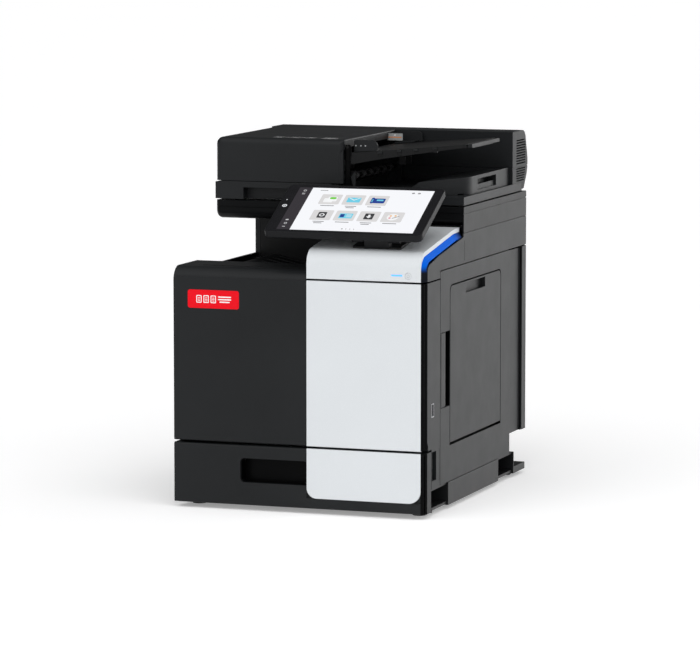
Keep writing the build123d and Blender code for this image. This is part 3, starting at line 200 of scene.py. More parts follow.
def roller(name, axis_x, axis_z, shaft, core=(0.55, 0.56, 0.57)):
    """Ground rubber tyres on a steel shaft; the shaft is what lies within its radius of the axis."""
    t = Tree(name)
    x, _, z = t.axes()
    far = t.reach(t.math("SUBTRACT", x, axis_x), t.math("SUBTRACT", z, axis_z))
    tyre = t.math("GREATER_THAN", far, shaft + 0.0002)
    marks = t.noise(120, 4, 0.6, (1, 0.15, 1))
    dark = t.mix(t.span(marks, 0, 1, 0.35, 0.7), (0.010, 0.010, 0.011), (0.022, 0.022, 0.024))
    t.link(t.mix(tyre, core, dark), "Base Color")
    t.link(t.math("SUBTRACT", 1.0, tyre), "Metallic")
    t.link(t.span(tyre, 0.25, 0.7), "Roughness")
    t.link(t.bump(t.noise(600, 3, 0.6, (1, 0.4, 1)), 0.3, 0.00005, t.rounded(0.0004)), "Normal")
    return t.material


def lit(name, color):
    """A picture element behind the cover glass: its own light under a smooth glossy face."""
    t = Tree(name)
    pixel = t.noise(2600, 1)
    t.link(t.mix(t.span(pixel, 0, 1, 0.35, 0.65), tint(color, 0.965), color), "Emission Color")
    t.set("Emission Strength", 1.0)
    t.set("Base Color", (0.01, 0.01, 0.012, 1))
    t.set("Specular IOR Level", 0.35)
    t.link(t.span(t.noise(30, 3), 0.12, 0.17, 0.3, 0.7), "Roughness")
    return t.material


CHARCOAL = (0.0098, 0.0108, 0.0118)
mats = {
    "charcoal": plastic("charcoal_abs", CHARCOAL, 0.42, 0.17),
    "trim_black": plastic("trim_black_abs", (0.0012, 0.0013, 0.0015), 0.3, 0.05, grain=0.08, spread=0.2),
    "deep_charcoal": plastic("deep_charcoal_abs", (0.0035, 0.0038, 0.0042), 0.42, 0.17),
    "black_plastic": plastic("black_abs", (0.008, 0.0082, 0.009), 0.38, 0.17, grain=0.15),
    "white_plastic": plastic("white_abs", (0.615, 0.64, 0.66), 0.38, 0.4, grain=0.08, spread=0.012),
    "light_grey": plastic("grey_abs", (0.34, 0.35, 0.36), 0.5, 0.4, spread=0.05),
    "steel": metal("zinc_sheet", (0.56, 0.57, 0.58)),
    "chrome_metal": metal("plated_steel", (0.6, 0.6, 0.62), 0.22, (60, 1, 60)),
    "rubber_black": rubber("matt_rubber", (0.016, 0.016, 0.016)),
    "inner_black": plastic("inner_black_abs", (0.010, 0.010, 0.011), 0.55, 0.3, spread=0.2),
    "key_plastic": plastic("key_grey", (0.60, 0.62, 0.64), 0.4, 0.4, radius=0.0003, spread=0.02),
    "badge_red": plastic("badge_red_plate", (0.72, 0.002, 0.010), 0.3, 0.12, grain=0.05, radius=0.0003,
                         spread=0.04),
}


def accent_material():
    """Blue trim that runs out into black at the back of the slope and down the front corner; the blue part carries
    a faint painted glow.
    """
    t = Tree("blue_trim_painted_glow")
    _, y, z = t.axes()
    at_front = t.span(z, 0, 1, 0.3835, 0.3965, smooth=True)
    at_back = t.span(y, 1, 0, -0.120, -0.074, smooth=True)
    shown = t.math("MULTIPLY", at_front, at_back)
    cloud = t.mix(t.noise(9, 3), (0.0, 0.085, 0.50), (0.0, 0.105, 0.60))
    t.link(t.mix(shown, (0.008, 0.009, 0.012), cloud), "Base Color")
    # painted glow: the blue part of the trim gives off a little light of its own, though it is no lamp
    t.link(t.mix(shown, (0, 0, 0), (0.0, 0.045, 0.28)), "Emission Color")
    t.set("Emission Strength", 0.35)
    t.set("IOR", 1.14)
    t.set("Specular IOR Level", 0.1)
    t.link(t.span(t.noise(40, 3), 0.30, 0.40, 0.3, 0.7), "Roughness")
    t.link(t.bump(t.grain(GRAIN_SCALE), 0.08, GRAIN_DEPTH, t.rounded(0.0005)), "Normal")
    return t.material


def glass_material():
    """Clear float glass, a little smeared."""
    t = Tree("float_glass")
    t.set("Base Color", (0.86, 0.93, 0.91, 1))
    t.set("Transmission Weight", 0.92)
    t.set("IOR", 1.5)
    t.link(t.span(t.noise(5, 3), 0.01, 0.05, 0.3, 0.7), "Roughness")
    return t.material


def screen_material():
    """Dark cover glass of the touch panel."""
    t = Tree("cover_glass")
    smear = t.noise(18, 5, 0.6, (1, 2.2, 1))
    t.link(t.mix(smear, (0.006, 0.006, 0.007), (0.010, 0.010, 0.012)), "Base Color")
    t.set("Specular IOR Level", 0.25)
    t.link(t.span(smear, 0.10, 0.20, 0.35, 0.7), "Roughness")
    return t.material


def foam_material():
    """White foam sheet under the lid."""
    t = Tree("foam_sheet")
    t.link(t.mix(t.noise(50, 5), (0.74, 0.75, 0.75), (0.83, 0.84, 0.84)), "Base Color")
    t.link(t.span(t.noise(300, 3), 0.7, 0.9, 0.3, 0.7), "Roughness")
    t.set("Sheen Weight", 0.15)
    t.link(t.bump(t.noise(900, 4), 0.35, 0.0001), "Normal")
    return t.material


def toner_material():
    """Four bottles, one tone each, told apart by where they stand across the machine."""
    t = Tree("toner_bottles")
    x, y, _ = t.axes()
    black, cyan = (0.012, 0.012, 0.013), (0.0, 0.20, 0.52)
    magenta, yellow = (0.50, 0.01, 0.16), (0.72, 0.46, 0.02)
    tone = t.mix(t.math("GREATER_THAN", x, -0.090), yellow, magenta)
    tone = t.mix(t.math("GREATER_THAN", x, -0.030), tone, cyan)
    tone = t.mix(t.math("GREATER_THAN", x, 0.030), tone, black)
    cap = t.math("LESS_THAN", y, -0.2028)
    t.link(t.mix(cap, tint(black, 1.2), tone), "Base Color")
    t.link(t.span(t.noise(30, 4), 0.38, 0.5, 0.3, 0.7), "Roughness")
    t.link(t.bump(t.grain(1200), 0.2, GRAIN_DEPTH, t.rounded(0.0008)), "Normal")
    return t.material


DRUM_PITCH = 0.060
DRUM_HEIGHT = 0.197


def drum_material():
    """Coated drums shining green in black carriers."""
    t = Tree("drum_units")
    x, y, z = t.axes()
    local = t.nodes.new("ShaderNodeMath")
    local.operation = "WRAP"
    t.links.new(x, local.inputs[0])
    local.inputs[1].default_value = DRUM_PITCH / 2
    local.inputs[2].default_value = -DRUM_PITCH / 2
    far = t.reach(local.outputs[0], t.math("SUBTRACT", z, DRUM_HEIGHT))
    inside = t.math("LESS_THAN", t.math("ABSOLUTE", y), 0.141)
    drum = t.math("MULTIPLY", t.math("LESS_THAN", far, 0.01515), inside)
    t.link(t.mix(drum, (0.012, 0.012, 0.013), (0.02, 0.20, 0.17)), "Base Color")
    gloss = t.math("ADD", t.math("MULTIPLY", drum, -0.3), t.math("MULTIPLY", t.noise(60, 3), 0.1))
    t.link(t.span(gloss, 0.15, 0.6, -0.3, 0.1), "Roughness")
    t.link(t.rounded(0.0006), "Normal")
    return t.material


def belt_material():
    """Thin brown film, marked along its run."""
    t = Tree("transfer_belt")
    t.link(t.mix(t.noise(40, 5, 0.6, (1, 0.1, 1)), (0.014, 0.011, 0.009), (0.026, 0.020, 0.016)), "Base Color")
    t.link(t.span(t.noise(25, 3), 0.12, 0.24, 0.3, 0.7), "Roughness")
    t.link(t.bump(t.noise(70, 2, 0.5, (1, 0.1, 1)), 0.06, 0.0003), "Normal")
    return t.material


def board_material():
    """Solder mask with copper runs; anything standing off the board is a part."""
    t = Tree("circuit_board")
    _, y, _ = t.axes()
    part = t.math("GREATER_THAN", y, 0.2237)
    brick = t.nodes.new("ShaderNodeTexBrick")
    turn = t.nodes.new("ShaderNodeMapping")
    turn.inputs["Rotation"].default_value = (math.pi / 2, 0, 0)
    t.links.new(t.place, turn.inputs["Vector"])
    t.links.new(turn.outputs["Vector"], brick.inputs["Vector"])
    brick.inputs["Scale"].default_value = 60
    brick.inputs["Mortar Size"].default_value = 0.03
    brick.inputs["Color1"].default_value = (0.008, 0.075, 0.03, 1)
    brick.inputs["Color2"].default_value = (0.010, 0.090, 0.035, 1)
    brick.inputs["Mortar"].default_value = (0.03, 0.16, 0.07, 1)
    t.link(t.mix(part, brick.outputs["Color"], (0.02, 0.02, 0.022)), "Base Color")
    t.link(t.span(t.noise(90, 3), 0.3, 0.45, 0.3, 0.7), "Roughness")
    t.link(t.rounded(0.0004), "Normal")
    return t.material


def light_material():
    """Blue light bar beside the power key."""
    t = Tree("status_light")
    t.link(t.mix(t.noise(200, 2), (0.04, 0.28, 1.0), (0.08, 0.36, 1.0)), "Emission Color")
    t.set("Emission Strength", 1.6)
    t.set("Base Color", (0.02, 0.12, 0.5, 1))
    t.link(t.span(t.noise(80, 2), 0.2, 0.3, 0.3, 0.7), "Roughness")
    return t.material


mats.update(blue_plastic=accent_material(), platen_glass=glass_material(), screen_glass=screen_material(),
            foam_white=foam_material(), drum_green=drum_material(), belt_film=belt_material(),
            board_green=board_material(), light_led=light_material())
# nodes whose look differs from their record slot's
own = {
    # painted shade: the scanner housing gets the darker charcoal, a shaded copy of the body plastic
    "scanner_housing": mats["deep_charcoal"],
    "bay_wall": mats["deep_charcoal"],
    "document_tray": mats["deep_charcoal"],
    "control_panel": plastic("bezel_abs", (0.0095, 0.0098, 0.0108), 0.38, 0.10, grain=0.15),
    "tray_extension": mats["charcoal"],
    "pickup_roller": roller("pickup_rubber", 0.140, 0.124, 0.004),
    "exit_roller": roller("exit_rubber", 0.068, 0.392, 0.003),
    "transfer_roller": roller("transfer_rubber", 0.168, 0.226, 0.003),
    "adf_feed_roller": roller("feed_rubber", -0.040, 0.520, 0.003),
    # painted shade: the feeder exit roller's steel shaft is given a near-black tone
    "adf_exit_roller": roller("feeder_exit_rubber", 0.014, 0.513, 0.003, (0.03, 0.03, 0.032)),
    "adf_rear_housing": plastic("rear_abs", CHARCOAL, 0.42, 0.12),
    "lid_hinges": metal("hinge_steel", (0.13, 0.135, 0.14), 0.42),
    "toner_cartridges": toner_material(),
}
for part in frame["record"]["subparts"]:
    material = own.get(part["node"]) or mats[part["material_slot"]]
    mesh = nodes[part["node"]].data
    mesh.materials.clear()
    mesh.materials.append(material)


def paint_region(node, low, high, material):
    """Give the faces of a CAD node whose middles lie in a box their own material."""
    mesh = nodes[node].data
    mesh.materials.append(material)
    index = len(mesh.materials) - 1
    for poly in mesh.polygons:
        if all(a <= c <= b for a, c, b in zip(low, poly.center, high)):
            poly.material_index = index


cover_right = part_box("front_door_panel")[1].x
# chamfered right corner of the door and drawer
for node in ("front_door", "drawer_front"):
    paint_region(node, (cover_right + 0.0001, -1, 0), (0.2099, -0.2562, 1), mats["trim_black"])
# scanner's front face, painted shade: a still darker copy of the charcoal with less sheen
scanner_painted_shade = plastic("painted_shade_abs", (0.0035, 0.0038, 0.0042), 0.42, 0.06)
paint_region("scanner_housing", (-1, -0.0765, 0.43), (1, -0.0745, 0.48), scanner_painted_shade)
# walls and floor of the bypass tray's recess
paint_region("side_door", (0.190, -0.146, 0.100), (0.2095, 0.1226, 0.355), mats["trim_black"])
# post in front of the document tray's hinge, painted near-black as shade so that it is lost against the dark guide
# behind it
paint_region("adf_base", (0.005, -0.070, 0.487), (0.020, -0.060, 0.58), mats["trim_black"])


# ---------------------------------------------------------------- mesh tools
def ring_of(x0, x1, y0, y1, radius, steps=6):
    """Corners of a rounded rectangle, anticlockwise."""
    radius = min(radius, (x1 - x0) / 2, (y1 - y0) / 2)
    points = []
    for cx, cy, start in ((x1 - radius, y1 - radius, 0), (x0 + radius, y1 - radius, 90),
                          (x0 + radius, y0 + radius, 180), (x1 - radius, y0 + radius, 270)):
        for step in range(steps + 1):
            a = math.radians(start + 90 * step / steps)
            points.append((cx + radius * math.cos(a), cy + radius * math.sin(a)))
    return points


def disc_of(cx, cy, radius, steps=24):
    """Corners of a disc."""
    return [(cx + radius * math.cos(2 * math.pi * i / steps), cy + radius * math.sin(2 * math.pi * i / steps))
            for i in range(steps)]


class Face:
    """A flat working plane on the machine: a point, two directions along it and one out of it."""

    def __init__(self, origin, across, up, body):
        self.origin, self.across, self.up = Vector(origin), Vector(across), Vector(up)
        self.out = self.across.cross(self.up)
        self.body = body

    def at(self, u, v, h):
        return self.origin + (self.across * u + self.up * v + self.out * h) * MM


def link_mesh(name, bm):
    bmesh.ops.recalc_face_normals(bm, faces=bm.faces)
    mesh = bpy.data.meshes.new(name)
    bm.to_mesh(mesh)
    bm.free()
    obj = bpy.data.objects.new(name, mesh)
    scene.collection.objects.link(obj)
    return obj


def add_piece(name, bm, face, material):
    """Put a finished mesh in the scene, on the body of its working plane."""
    obj = link_mesh(name, bm)
    obj.data.materials.append(material)
    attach(obj, face.body)
    return obj


def raised(bm, face, loop, height):
    return [bm.verts.new(face.at(u, v, height)) for u, v in loop]


def skin(bm, rows, closed=False):
    """Join neighbouring rings with quads; closed also joins the last ring to the first."""
    following = rows[1:] + rows[:1] if closed else rows[1:]
    for a, b in zip(rows, following):
        for i in range(len(a)):
            j = (i + 1) % len(a)
            bm.faces.new((a[i], a[j], b[j], b[i]))


def shrunk(loop, edge):
    """The outline drawn in towards its middle, so that its farthest corner moves by edge."""
    cu, cv = sum(p[0] for p in loop) / len(loop), sum(p[1] for p in loop) / len(loop)
    factor = 1 - edge / max(math.hypot(u - cu, v - cv) for u, v in loop)
    return [(cu + (u - cu) * factor, cv + (v - cv) * factor) for u, v in loop]


def sheets(name, face, outlines, material, low=0.0, high=0.1, bevel=0.0, holes=False):
    """Flat raised shapes on a working plane, in one piece.

    With holes, each pair of outlines is an outer and an inner ring.
    """
    bm = bmesh.new()
    if holes:
        for outer, inner in zip(outlines[::2], outlines[1::2]):
            steps = ((outer, low), (outer, high), (inner, high), (inner, low))
            skin(bm, [raised(bm, face, loop, h) for loop, h in steps], closed=True)
    else:
        for loop in outlines:
            rows = [raised(bm, face, loop, low)]
            if bevel:
                rows.append(raised(bm, face, loop, high - bevel))
                rows.append(raised(bm, face, shrunk(loop, bevel), high))
            else:
                rows.append(raised(bm, face, loop, high))
            skin(bm, rows)
            bm.faces.new(rows[-1])
            bm.faces.new(rows[0][::-1])
    return add_piece(name, bm, face, material)


def pocket(name, face, outer, inner, back, rim, floor, material):
    """A closed box sunk behind a working plane with a hollow open to the front."""
    bm = bmesh.new()
    steps = ((outer, back), (outer, rim), (inner, rim), (inner, floor))
    rows = [raised(bm, face, loop, h) for loop, h in steps]
    skin(bm, rows)
    bm.faces.new(rows[0])
    bm.faces.new(rows[-1])
    add_piece(name, bm, face, material)


def rect(cu, cv, wide, high, radius=0.0):
    """Corners of a rectangle round a middle point, rounded where a radius is given."""
    u0, u1, v0, v1 = cu - wide / 2, cu + wide / 2, cv - high / 2, cv + high / 2
    if radius:
        return ring_of(u0, u1, v0, v1, radius)
    return [(u0, v0), (u1, v0), (u1, v1), (u0, v1)]


# ---------------------------------------------------------------- the display
pin = Vector(next(j["pos_m"] for j in frame["joints"] if j["name"] == "panel_tilt"))
TILT = math.radians(27.3)
PIN_ALONG = 0.017       # from the panel's lower edge to its pin
PIN_DROP = 0.0185       # from the panel's face to its pin
slope = Vector((0, math.cos(TILT), math.sin(TILT)))
normal = Vector((0, -math.sin(TILT), math.cos(TILT)))
corner = pin - slope * PIN_ALONG + normal * PIN_DROP
corner.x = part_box("control_panel")[0].x
panel = Face(corner, (1, 0, 0), slope, "panel")
GLASS = -0.1            # the cover glass lies this far from the panel's face

tones = {
    "white": (0.93, 0.94, 0.97),
    "menu": (0.026, 0.022, 0.026),
    "tile": (0.70, 0.69, 0.69),
    "label": (0.22, 0.22, 0.23),
    "green": (0.16, 0.62, 0.05),
    "cyan": (0.16, 0.62, 0.80),
    "navy": (0.010, 0.045, 0.28),
    "dark": (0.04, 0.04, 0.042),
    "sheet": (0.90, 0.91, 0.92),
    "amber": (0.85, 0.42, 0.10),
    "pink": (0.75, 0.18, 0.25),
    "mark": (0.30, 0.30, 0.31),
    "menu_mark": (0.55, 0.55, 0.56),
    "ring": (0.75, 0.77, 0.80),
}
lights = {name: lit("display_" + name, color) for name, color in tones.items()}


def shown(name, outlines, tone, layer, holes=False):
    """A lit shape of the display; a higher layer lies over a lower one."""
    low = GLASS + 0.004 + 0.010 * layer
    sheets("display_" + name, panel, outlines, lights[tone], low, low + 0.008, holes=holes)


MENU_EDGE, ACTIVE_LEFT, ACTIVE_RIGHT, ACTIVE_LOW, ACTIVE_HIGH = 41.6, 19.7, 243.3, 8.0, 131.0
for name, left, right, tone in (("page", MENU_EDGE, ACTIVE_RIGHT, "white"),
                                ("menu", ACTIVE_LEFT, MENU_EDGE, "menu")):
    shown(name, [[(left, ACTIVE_LOW), (right, ACTIVE_LOW), (right, ACTIVE_HIGH), (left, ACTIVE_HIGH)]], tone, 0)
COLUMNS, ROWS, TILE = (80.8, 119.6, 158.6, 197.6), (98.4, 52.2), (34.0, 29.0)
spots = [(u, v) for v in ROWS for u in COLUMNS if (u, v) != (COLUMNS[3], ROWS[0])]
shown("tiles", [rect(u, v, *TILE, 2.4) for u, v in spots], "tile", 1)
labels = []
for index, (u, v) in enumerate(spots):
    widths = (19, 14) if index % 2 else (23,)
    for line, wide in enumerate(widths):
        labels.append(rect(u, v - 18.6 - 4.2 * line, wide, 1.9, 0.9))
shown("labels", labels, "label", 1)
(c1, c2, c3, c4), (r1, r2) = COLUMNS, ROWS
# upper row: two sheets, an envelope, a handset with a page; lower row: a safe, a card, a box, a palette
shown("icon_sheets", [rect(c1 - 3, r1 - 3, 15, 12, 1.5), rect(c1 + 3, r1 + 1, 15, 13, 1.5)], "sheet", 2)
shown("icon_green", [rect(c1 + 3.5, r1 + 3.6, 11, 6, 2.8)], "green", 3)
shown("icon_envelope", [rect(c2, r1, 22, 14, 1.2)], "cyan", 2)
shown("icon_flap", [[(c2 - 10, r1 + 6), (c2, r1 - 1.4), (c2 + 10, r1 + 6), (c2 + 8, r1 + 6), (c2, r1 + 0.6),
                     (c2 - 8, r1 + 6)]], "sheet", 3)
shown("icon_machine", [rect(c3 + 2, r1 - 0.5, 21, 14, 2.4)], "navy", 2)
shown("icon_handset", [rect(c3 - 8.4, r1, 5, 17, 2.4)], "navy", 3)
shown("icon_page", [rect(c3 + 4, r1 + 1.4, 11, 4.2, 0.8), rect(c3 - 8.4, r1, 1.5, 9, 0.7)], "cyan", 4)
shown("icon_safe", [rect(c1, r2 + 0.5, 14, 17, 1.6)], "dark", 2)
shown("icon_safe_dial", [disc_of(c1, r2 + 0.5, 4.4), disc_of(c1, r2 + 0.5, 2.6)], "sheet", 3, holes=True)
shown("icon_card", [rect(c2 + 1, r2 - 0.4, 22, 14, 1.2)], "cyan", 2)
shown("icon_card_face", [rect(c2 - 5, r2, 7, 9, 1)], "navy", 3)
shown("icon_card_lines", [rect(c2 + 6, r2 + 3 - 3 * i, 9, 1.1, 0.5) for i in range(3)], "sheet", 3)
shown("icon_box", [rect(c3, r2, 15, 17, 1.2)], "dark", 2)
shown("icon_box_arrow", [[(c3 - 4.6, r2), (c3, r2 - 5), (c3 + 4.6, r2), (c3 + 1.8, r2), (c3 + 1.8, r2 + 5),
                          (c3 - 1.8, r2 + 5), (c3 - 1.8, r2)]], "sheet", 3)
shown("icon_palette", [disc_of(c4, r2, 9.4)], "sheet", 2)
shown("icon_palette_warm", [disc_of(c4 - 4, r2 + 3.4, 1.9), disc_of(c4 + 3.6, r2 + 4, 1.9)], "amber", 3)
shown("icon_palette_cool", [disc_of(c4 - 4.4, r2 - 2.6, 1.9)], "pink", 3)
shown("icon_brush", [[(c4, r2 - 4.4), (c4 + 10.4, r2 + 2.4), (c4 + 9.6, r2 + 3.8), (c4 - 0.6, r2 - 2.6)]],
      "label", 3)
shown("page_dots", [disc_of(126 + 6.4 * i, 14.4, 1.5 if i == 0 else 1.0) for i in range(4)], "mark", 1)
shown("status_marks", [rect(62.6, 123.9, 13, 1.8, 0.8), rect(210.6, 122.8, 5, 4, 1.8),
                       rect(220.3, 122.8, 5, 4, 1.8)], "mark", 1)
shown("menu_marks", [disc_of(31, 122, 2.6), disc_of(31, 122, 1.5), disc_of(29, 26, 2.6), disc_of(29, 26, 1.5)],
      "menu_mark", 1, holes=True)
shown("menu_lines", [rect(31, 114.2, 5, 1.2, 0.5), rect(31, 111.8, 5, 1.2, 0.5), rect(28.6, 36, 5, 3.4, 1.2),
                     rect(29, 16.4, 5, 1.6, 0.6)], "menu_mark", 1)
ring_spot = (11.1, 76.5)
shown("bezel_ring", [disc_of(*ring_spot, 4.0), disc_of(*ring_spot, 2.2)], "ring", 0, holes=True)
shown("bezel_dots", [disc_of(*ring_spot, 1.1), disc_of(9.4, 94.0, 1.0)], "ring", 0)

# ---------------------------------------------------------------- badge, power key and lid markings
plate_low, plate_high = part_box("badge_plate")
door_face = Face((0, plate_low.y, 0), (1, 0, 0), (0, 0, 1), "front_door")
print_white = plastic("printed_white", (0.82, 0.82, 0.82), 0.5, 0.3, grain=0.04, radius=0.0001, spread=0.01)
print_grey = plastic("printed_grey", (0.30, 0.31, 0.31), 0.55, 0.3, grain=0.04, radius=0.0001, spread=0.02)
mid_z = (plate_low.z + plate_high.z) / 2 / MM
mid_x = (plate_low.x + plate_high.x) / 2 / MM
PRINT = 0.06            # thickness of printing on the badge
PAGE_SHIFTS = (-24, -12, 0)
pages = []
for shift in PAGE_SHIFTS:
    pages += [rect(mid_x + shift, mid_z, 9, 12, 1.3), rect(mid_x + shift, mid_z, 6.4, 9.4, 0.5)]
sheets("badge_pages", door_face, pages, print_white, 0.0, PRINT, holes=True)
bars = [rect(mid_x + 19, mid_z + 4 - 4 * i, 22 - 5 * (i == 2), 1.9, 0.9) for i in range(3)]
for shift in PAGE_SHIFTS:
    bars += [rect(mid_x + shift, mid_z + 2 - 2.4 * i, 4.2, 0.9, 0.4) for i in range(3)]
sheets("badge_lines", door_face, bars, print_white, 0.0, PRINT)

key_low, key_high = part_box("power_key")
key_x, key_z = (key_low.x + key_high.x) / 2 / MM, (key_low.z + key_high.z) / 2 / MM
key_face = Face((0, key_low.y, 0), (1, 0, 0), (0, 0, 1), "key")
angles = [math.radians(40 + 280 * i / 20) for i in range(21)]
arc = [(key_x + r * math.sin(a), key_z - 0.1 + r * math.cos(a))
       for r, turn in ((2.3, 1), (1.85, -1)) for a in angles[::turn]]
stroke = rect(key_x, key_z + 1.5, 0.5, 2.4, 0.2)
sheets("power_mark", key_face, [arc, stroke], print_grey, 0.0, 0.03)

cover_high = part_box("adf_feed_cover")[1]
top_face = Face((0, 0, cover_high.z), (1, 0, 0), (0, 1, 0), "feed_cover")
outlines, solids = [], []
for cx, cy in ((-112, -46), (-84, -46), (-56, -46)):
    outlines += [rect(cx, cy, 13, 17, 1.0), rect(cx, cy, 12, 16, 0.6)]
    solids += [rect(cx, cy + 4 - 2.6 * i, 8 - 3 * (i == 3), 0.8, 0.3) for i in range(4)]
for cx in (-98, -70):
    solids.append([(cx - 3.4, -46.6), (cx + 1, -46.6), (cx + 1, -48.4), (cx + 4.4, -46), (cx + 1, -43.6),
                   (cx + 1, -45.4), (cx - 3.4, -45.4)])
for row in range(4):
    solids.append(rect(-22, -60 + 4.6 * row, 26 - 4 * (row % 2), 1.1, 0.5))
solids += [rect(-22, -36, 18, 0.7, 0.3), rect(-36, -32, 0.7, 9, 0.3)]
sheets("lid_page_marks", top_face, outlines, print_white, 0.0, 0.02, holes=True)
sheets("lid_line_marks", top_face, solids, print_white, 0.0, 0.02)

# ---------------------------------------------------------------- document guides
guide_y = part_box("document_guide_front")[0].y
guide_face = Face((0, guide_y, 0), (1, 0, 0), (0, 0, 1), "document_fence_front")
dots = [disc_of(x, 561.7, 1.2, 16) for x in (21.5, 30.0, 37.5)]
sheets("guide_marks", guide_face, dots, print_grey, 0.0, 0.05)

rear_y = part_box("document_guide_rear")[0].y
rear_guide = Face((0, rear_y, 0), (1, 0, 0), (0, 0, 1), "document_fence_rear")
print_orange = plastic("printed_orange", (0.62, 0.20, 0.05), 0.55, 0.3, grain=0.04, radius=0.0001, spread=0.02)
arrow = [(17.2, 564.2), (20.8, 564.2), (19, 567.2)]
sheets("guide_label", rear_guide, [rect(19, 562.3, 27, 11.5, 1.2)], print_grey, 0.0, 0.05)
sheets("guide_label_line", rear_guide, [rect(19, 561.6, 23, 1.5, 0.6)], print_orange, 0.05, 0.08)
sheets("guide_label_arrow", rear_guide, [arrow], print_white, 0.05, 0.08)

# ---------------------------------------------------------------- lining of the drawer's grip
grip_x, grip_z, lining = (-95.4, 12.9), (44.7, 82.6), 0.5
front_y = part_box("drawer_front")[0].y / MM
grip_face = Face((0, 0, 0), (1, 0, 0), (0, 0, 1), "drawer")
outer = ring_of(*grip_x, *grip_z, 6.9, 8)
inner = ring_of(grip_x[0] + lining, grip_x[1] - lining, grip_z[0] + lining, grip_z[1] - lining, 6.4, 8)
pocket("drawer_grip_lining", grip_face, outer, inner, -(front_y + 23.6), -(front_y + 6.0), -(front_y + 23.0),
       mats["trim_black"])

# ---------------------------------------------------------------- feeder details
# corner piece that carries the feeder cover's front face straight down at its right end
cover_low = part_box("adf_feed_cover")[0]
front, right, base = cover_low.y / MM, cover_high.x / MM, cover_low.z / MM
SHOULDER = 7.5          # how far the cover's shoulder stands past its lower wall, and its height at that wall
SHOULDER_LOW = 547.9
inset = right - SHOULDER
corner_plan = [(inset, front), (right - 1.5, front), (right - 0.44, front + 0.44), (right, front + 1.5),
               (right, front + 6.2), (right - 2, front + 6.2), (right - 2, front + 2), (inset, front + 2)]
plan = Face((0, 0, 0), (1, 0, 0), (0, 1, 0), "feed_cover")
cover_corner = sheets("feed_cover_corner", plan, [corner_plan], mats["charcoal"], base,
                      SHOULDER_LOW)
for vert in cover_corner.data.vertices:
    if vert.co.z > 0.54:
        vert.co.z += (vert.co.x - inset * MM) * 8 / SHOULDER

# stiffening tabs along the document tray's front edge
tray_tilt = math.radians(4.8)
tray_face = Face((0.010, 0, 0.550), (math.cos(tray_tilt), 0, math.sin(tray_tilt)), (0, 1, 0), "document_tray")


def tray_edge(u):
    """Front edge of the tray, in mm across the machine's depth, at u along the tray."""
    return -63.4 + 41.4 * u / 185


TAB_SPOTS = (52, 82, 108, 138)
tabs = [[(u - 5, tray_edge(u - 5) + 2), (u - 3.4, tray_edge(u) - 2.6), (u + 3.4, tray_edge(u) - 2.0),
         (u + 5, tray_edge(u + 5) + 2)] for u in TAB_SPOTS]
sheets("document_tray_tabs", tray_face, tabs, own["tray_extension"], -4.4, -0.9, bevel=0.4)
hooks = [[(u - 3, tray_edge(u) - 1), (u + 3, tray_edge(u) - 0.6), (u + 3, tray_edge(u) + 4),
          (u - 3, tray_edge(u) + 4)] for u in TAB_SPOTS]
sheets("document_tray_hooks", tray_face, hooks, own["document_tray"], -9.5, -4.4)

# dark filter mats behind the louvres of the left cover
mat_face = Face((0, 0, 0), (0, 1, 0), (0, 0, 1), "machine")
for name, low, high in (("upper", 297, 378), ("lower", 117, 190)):
    middle, tall = (low + high) / 2, high - low
    ribs = [rect(126 + 4 * i, middle, 1.2, tall - 2, 0.4) for i in range(23)]
    for part, outlines, near, far in (("mat_", [rect(170, middle, 94, tall, 2)], -204.3, -203.5),
                                      ("ribs_", ribs, -203.5, -202.6)):
        sheets("filter_" + part + name, mat_face, outlines, mats["inner_black"], near, far)

# ---------------------------------------------------------------- sockets at the back
back_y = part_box("rear_cover")[1].y
back = Face((0, back_y, 0), (-1, 0, 0), (0, 0, 1), "machine")


def socket(name, x0, x1, z0, z1, tongue, depth=13, wall=0.9):
    """A metal shell let into a cut-out of the rear cover, with its tongue."""
    outer = ring_of(-x1, -x0, z0, z1, 0.8, 3)
    inner = ring_of(-x1 + wall, -x0 - wall, z0 + wall, z1 - wall, 0.5, 3)
    pocket(name, back, outer, inner, -depth, -0.3, -depth + 1, mats["chrome_metal"])
    u0, u1, v0, v1 = tongue
    plug = rect((u0 + u1) / 2, (v0 + v1) / 2, u1 - u0, v1 - v0, 0.3)
    sheets(name + "_tongue", back, [plug], mats["black_plastic"], -depth + 1, -2.2, bevel=0.2)


socket("socket_network", 70.2, 85.8, 200.2, 212.8, (-83, -73, 209, 211.6))
socket("socket_device", 94.2, 106.8, 200.2, 211.8, (-103.5, -97.5, 203, 208.6))
socket("socket_host", 115.2, 127.8, 200.2, 205.8, (-126, -117, 203.4, 204.9))


# ---------------------------------------------------------------- floor, light, camera
def floor_material():
    """Pale matt floor."""
    t = Tree("studio_floor")
    t.link(t.mix(t.noise(3, 2), (0.86, 0.86, 0.865), (0.875, 0.875, 0.88)), "Base Color")
    t.set("Roughness", 0.9)
    t.set("Specular IOR Level", 0.1)
    t.set("Emission Color", (1.0, 1.0, 1.0, 1))
    t.set("Emission Strength", 0.28)
    return t.material


bm = bmesh.new()
bmesh.ops.create_grid(bm, x_segments=8, y_segments=8, size=60)
floor = link_mesh("studio_floor", bm)
floor.location.z = -0.0002
floor.data.materials.append(floor_material())

world = bpy.data.worlds.new("studio")
scene.world = world
world.use_nodes = True
sky = Graph(world.node_tree)
coords = sky.nodes.new("ShaderNodeTexCoord").outputs["Generated"]


def world_lobe(direction, strength, inner, outer):
    """Soft round patch of studio light: full strength within the inner cosine, none beyond the outer one."""
    dot = sky.nodes.new("ShaderNodeVectorMath")
    dot.operation = "DOT_PRODUCT"
    sky.links.new(coords, dot.inputs[0])
    dot.inputs[1].default_value = Vector(direction).normalized()
    return sky.span(dot.outputs["Value"], 0.0, strength, outer, inner, smooth=True)


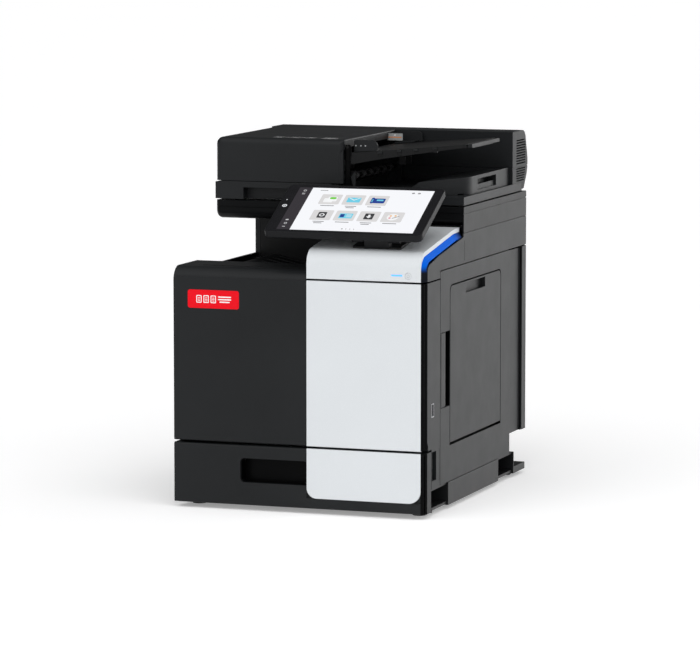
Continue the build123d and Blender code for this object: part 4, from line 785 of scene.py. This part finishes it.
def background(strength):
    node = sky.nodes.new("ShaderNodeBackground")
    node.inputs["Color"].default_value = (1.0, 1.0, 1.0, 1)
    if isinstance(strength, float):
        node.inputs["Strength"].default_value = strength
    else:
        sky.links.new(strength, node.inputs["Strength"])
    return node.outputs["Background"]


AMBIENT = 0.10
key_lobe = world_lobe((0.25, -0.75, 0.85), 1.45, 0.97, 0.20)
rim_lobe = world_lobe((0.58, 0.81, -0.08), 4.8, 0.985, 0.80)
lobes = sky.math("ADD", sky.math("ADD", key_lobe, rim_lobe), AMBIENT)
# the camera sees plain white, the object sees the lobes
pick = sky.nodes.new("ShaderNodeMixShader")
sky.links.new(sky.nodes.new("ShaderNodeLightPath").outputs["Is Camera Ray"], pick.inputs["Fac"])
sky.links.new(background(lobes), pick.inputs[1])
sky.links.new(background(1.0), pick.inputs[2])
sky.links.new(pick.outputs["Shader"], sky.nodes.new("ShaderNodeOutputWorld").inputs["Surface"])


def softbox(name, place, target, wide, high, watts):
    """Rectangular lamp at place, facing target."""
    data = bpy.data.lights.new(name, "AREA")
    data.shape = "RECTANGLE"
    data.size, data.size_y = wide, high
    data.energy = watts
    obj = bpy.data.objects.new(name, data)
    scene.collection.objects.link(obj)
    obj.location = place
    obj.rotation_euler = (Vector(target) - Vector(place)).to_track_quat("-Z", "Y").to_euler()


softbox("front_top", (0.4, -2.6, 3.0), (0, -0.2, 0.3), 3.4, 2.2, 14)

CAMERA_PLACE = (2.19709, -6.25225, 1.04208)
CAMERA_FALL, CAMERA_TURN = 6.67, 19.42      # degrees below level and round from straight ahead
camera_data = bpy.data.cameras.new("camera")
camera_data.lens = 212.28
camera_data.sensor_width = 36
camera_data.clip_start, camera_data.clip_end = 0.1, 200
camera = bpy.data.objects.new("camera", camera_data)
scene.collection.objects.link(camera)
camera.location = CAMERA_PLACE
camera.rotation_euler = (math.radians(90 - CAMERA_FALL), 0, math.radians(CAMERA_TURN))
scene.camera = camera
scene.view_settings.view_transform = "Standard"
scene.view_settings.look = "None"
scene.cycles.max_bounces = 8
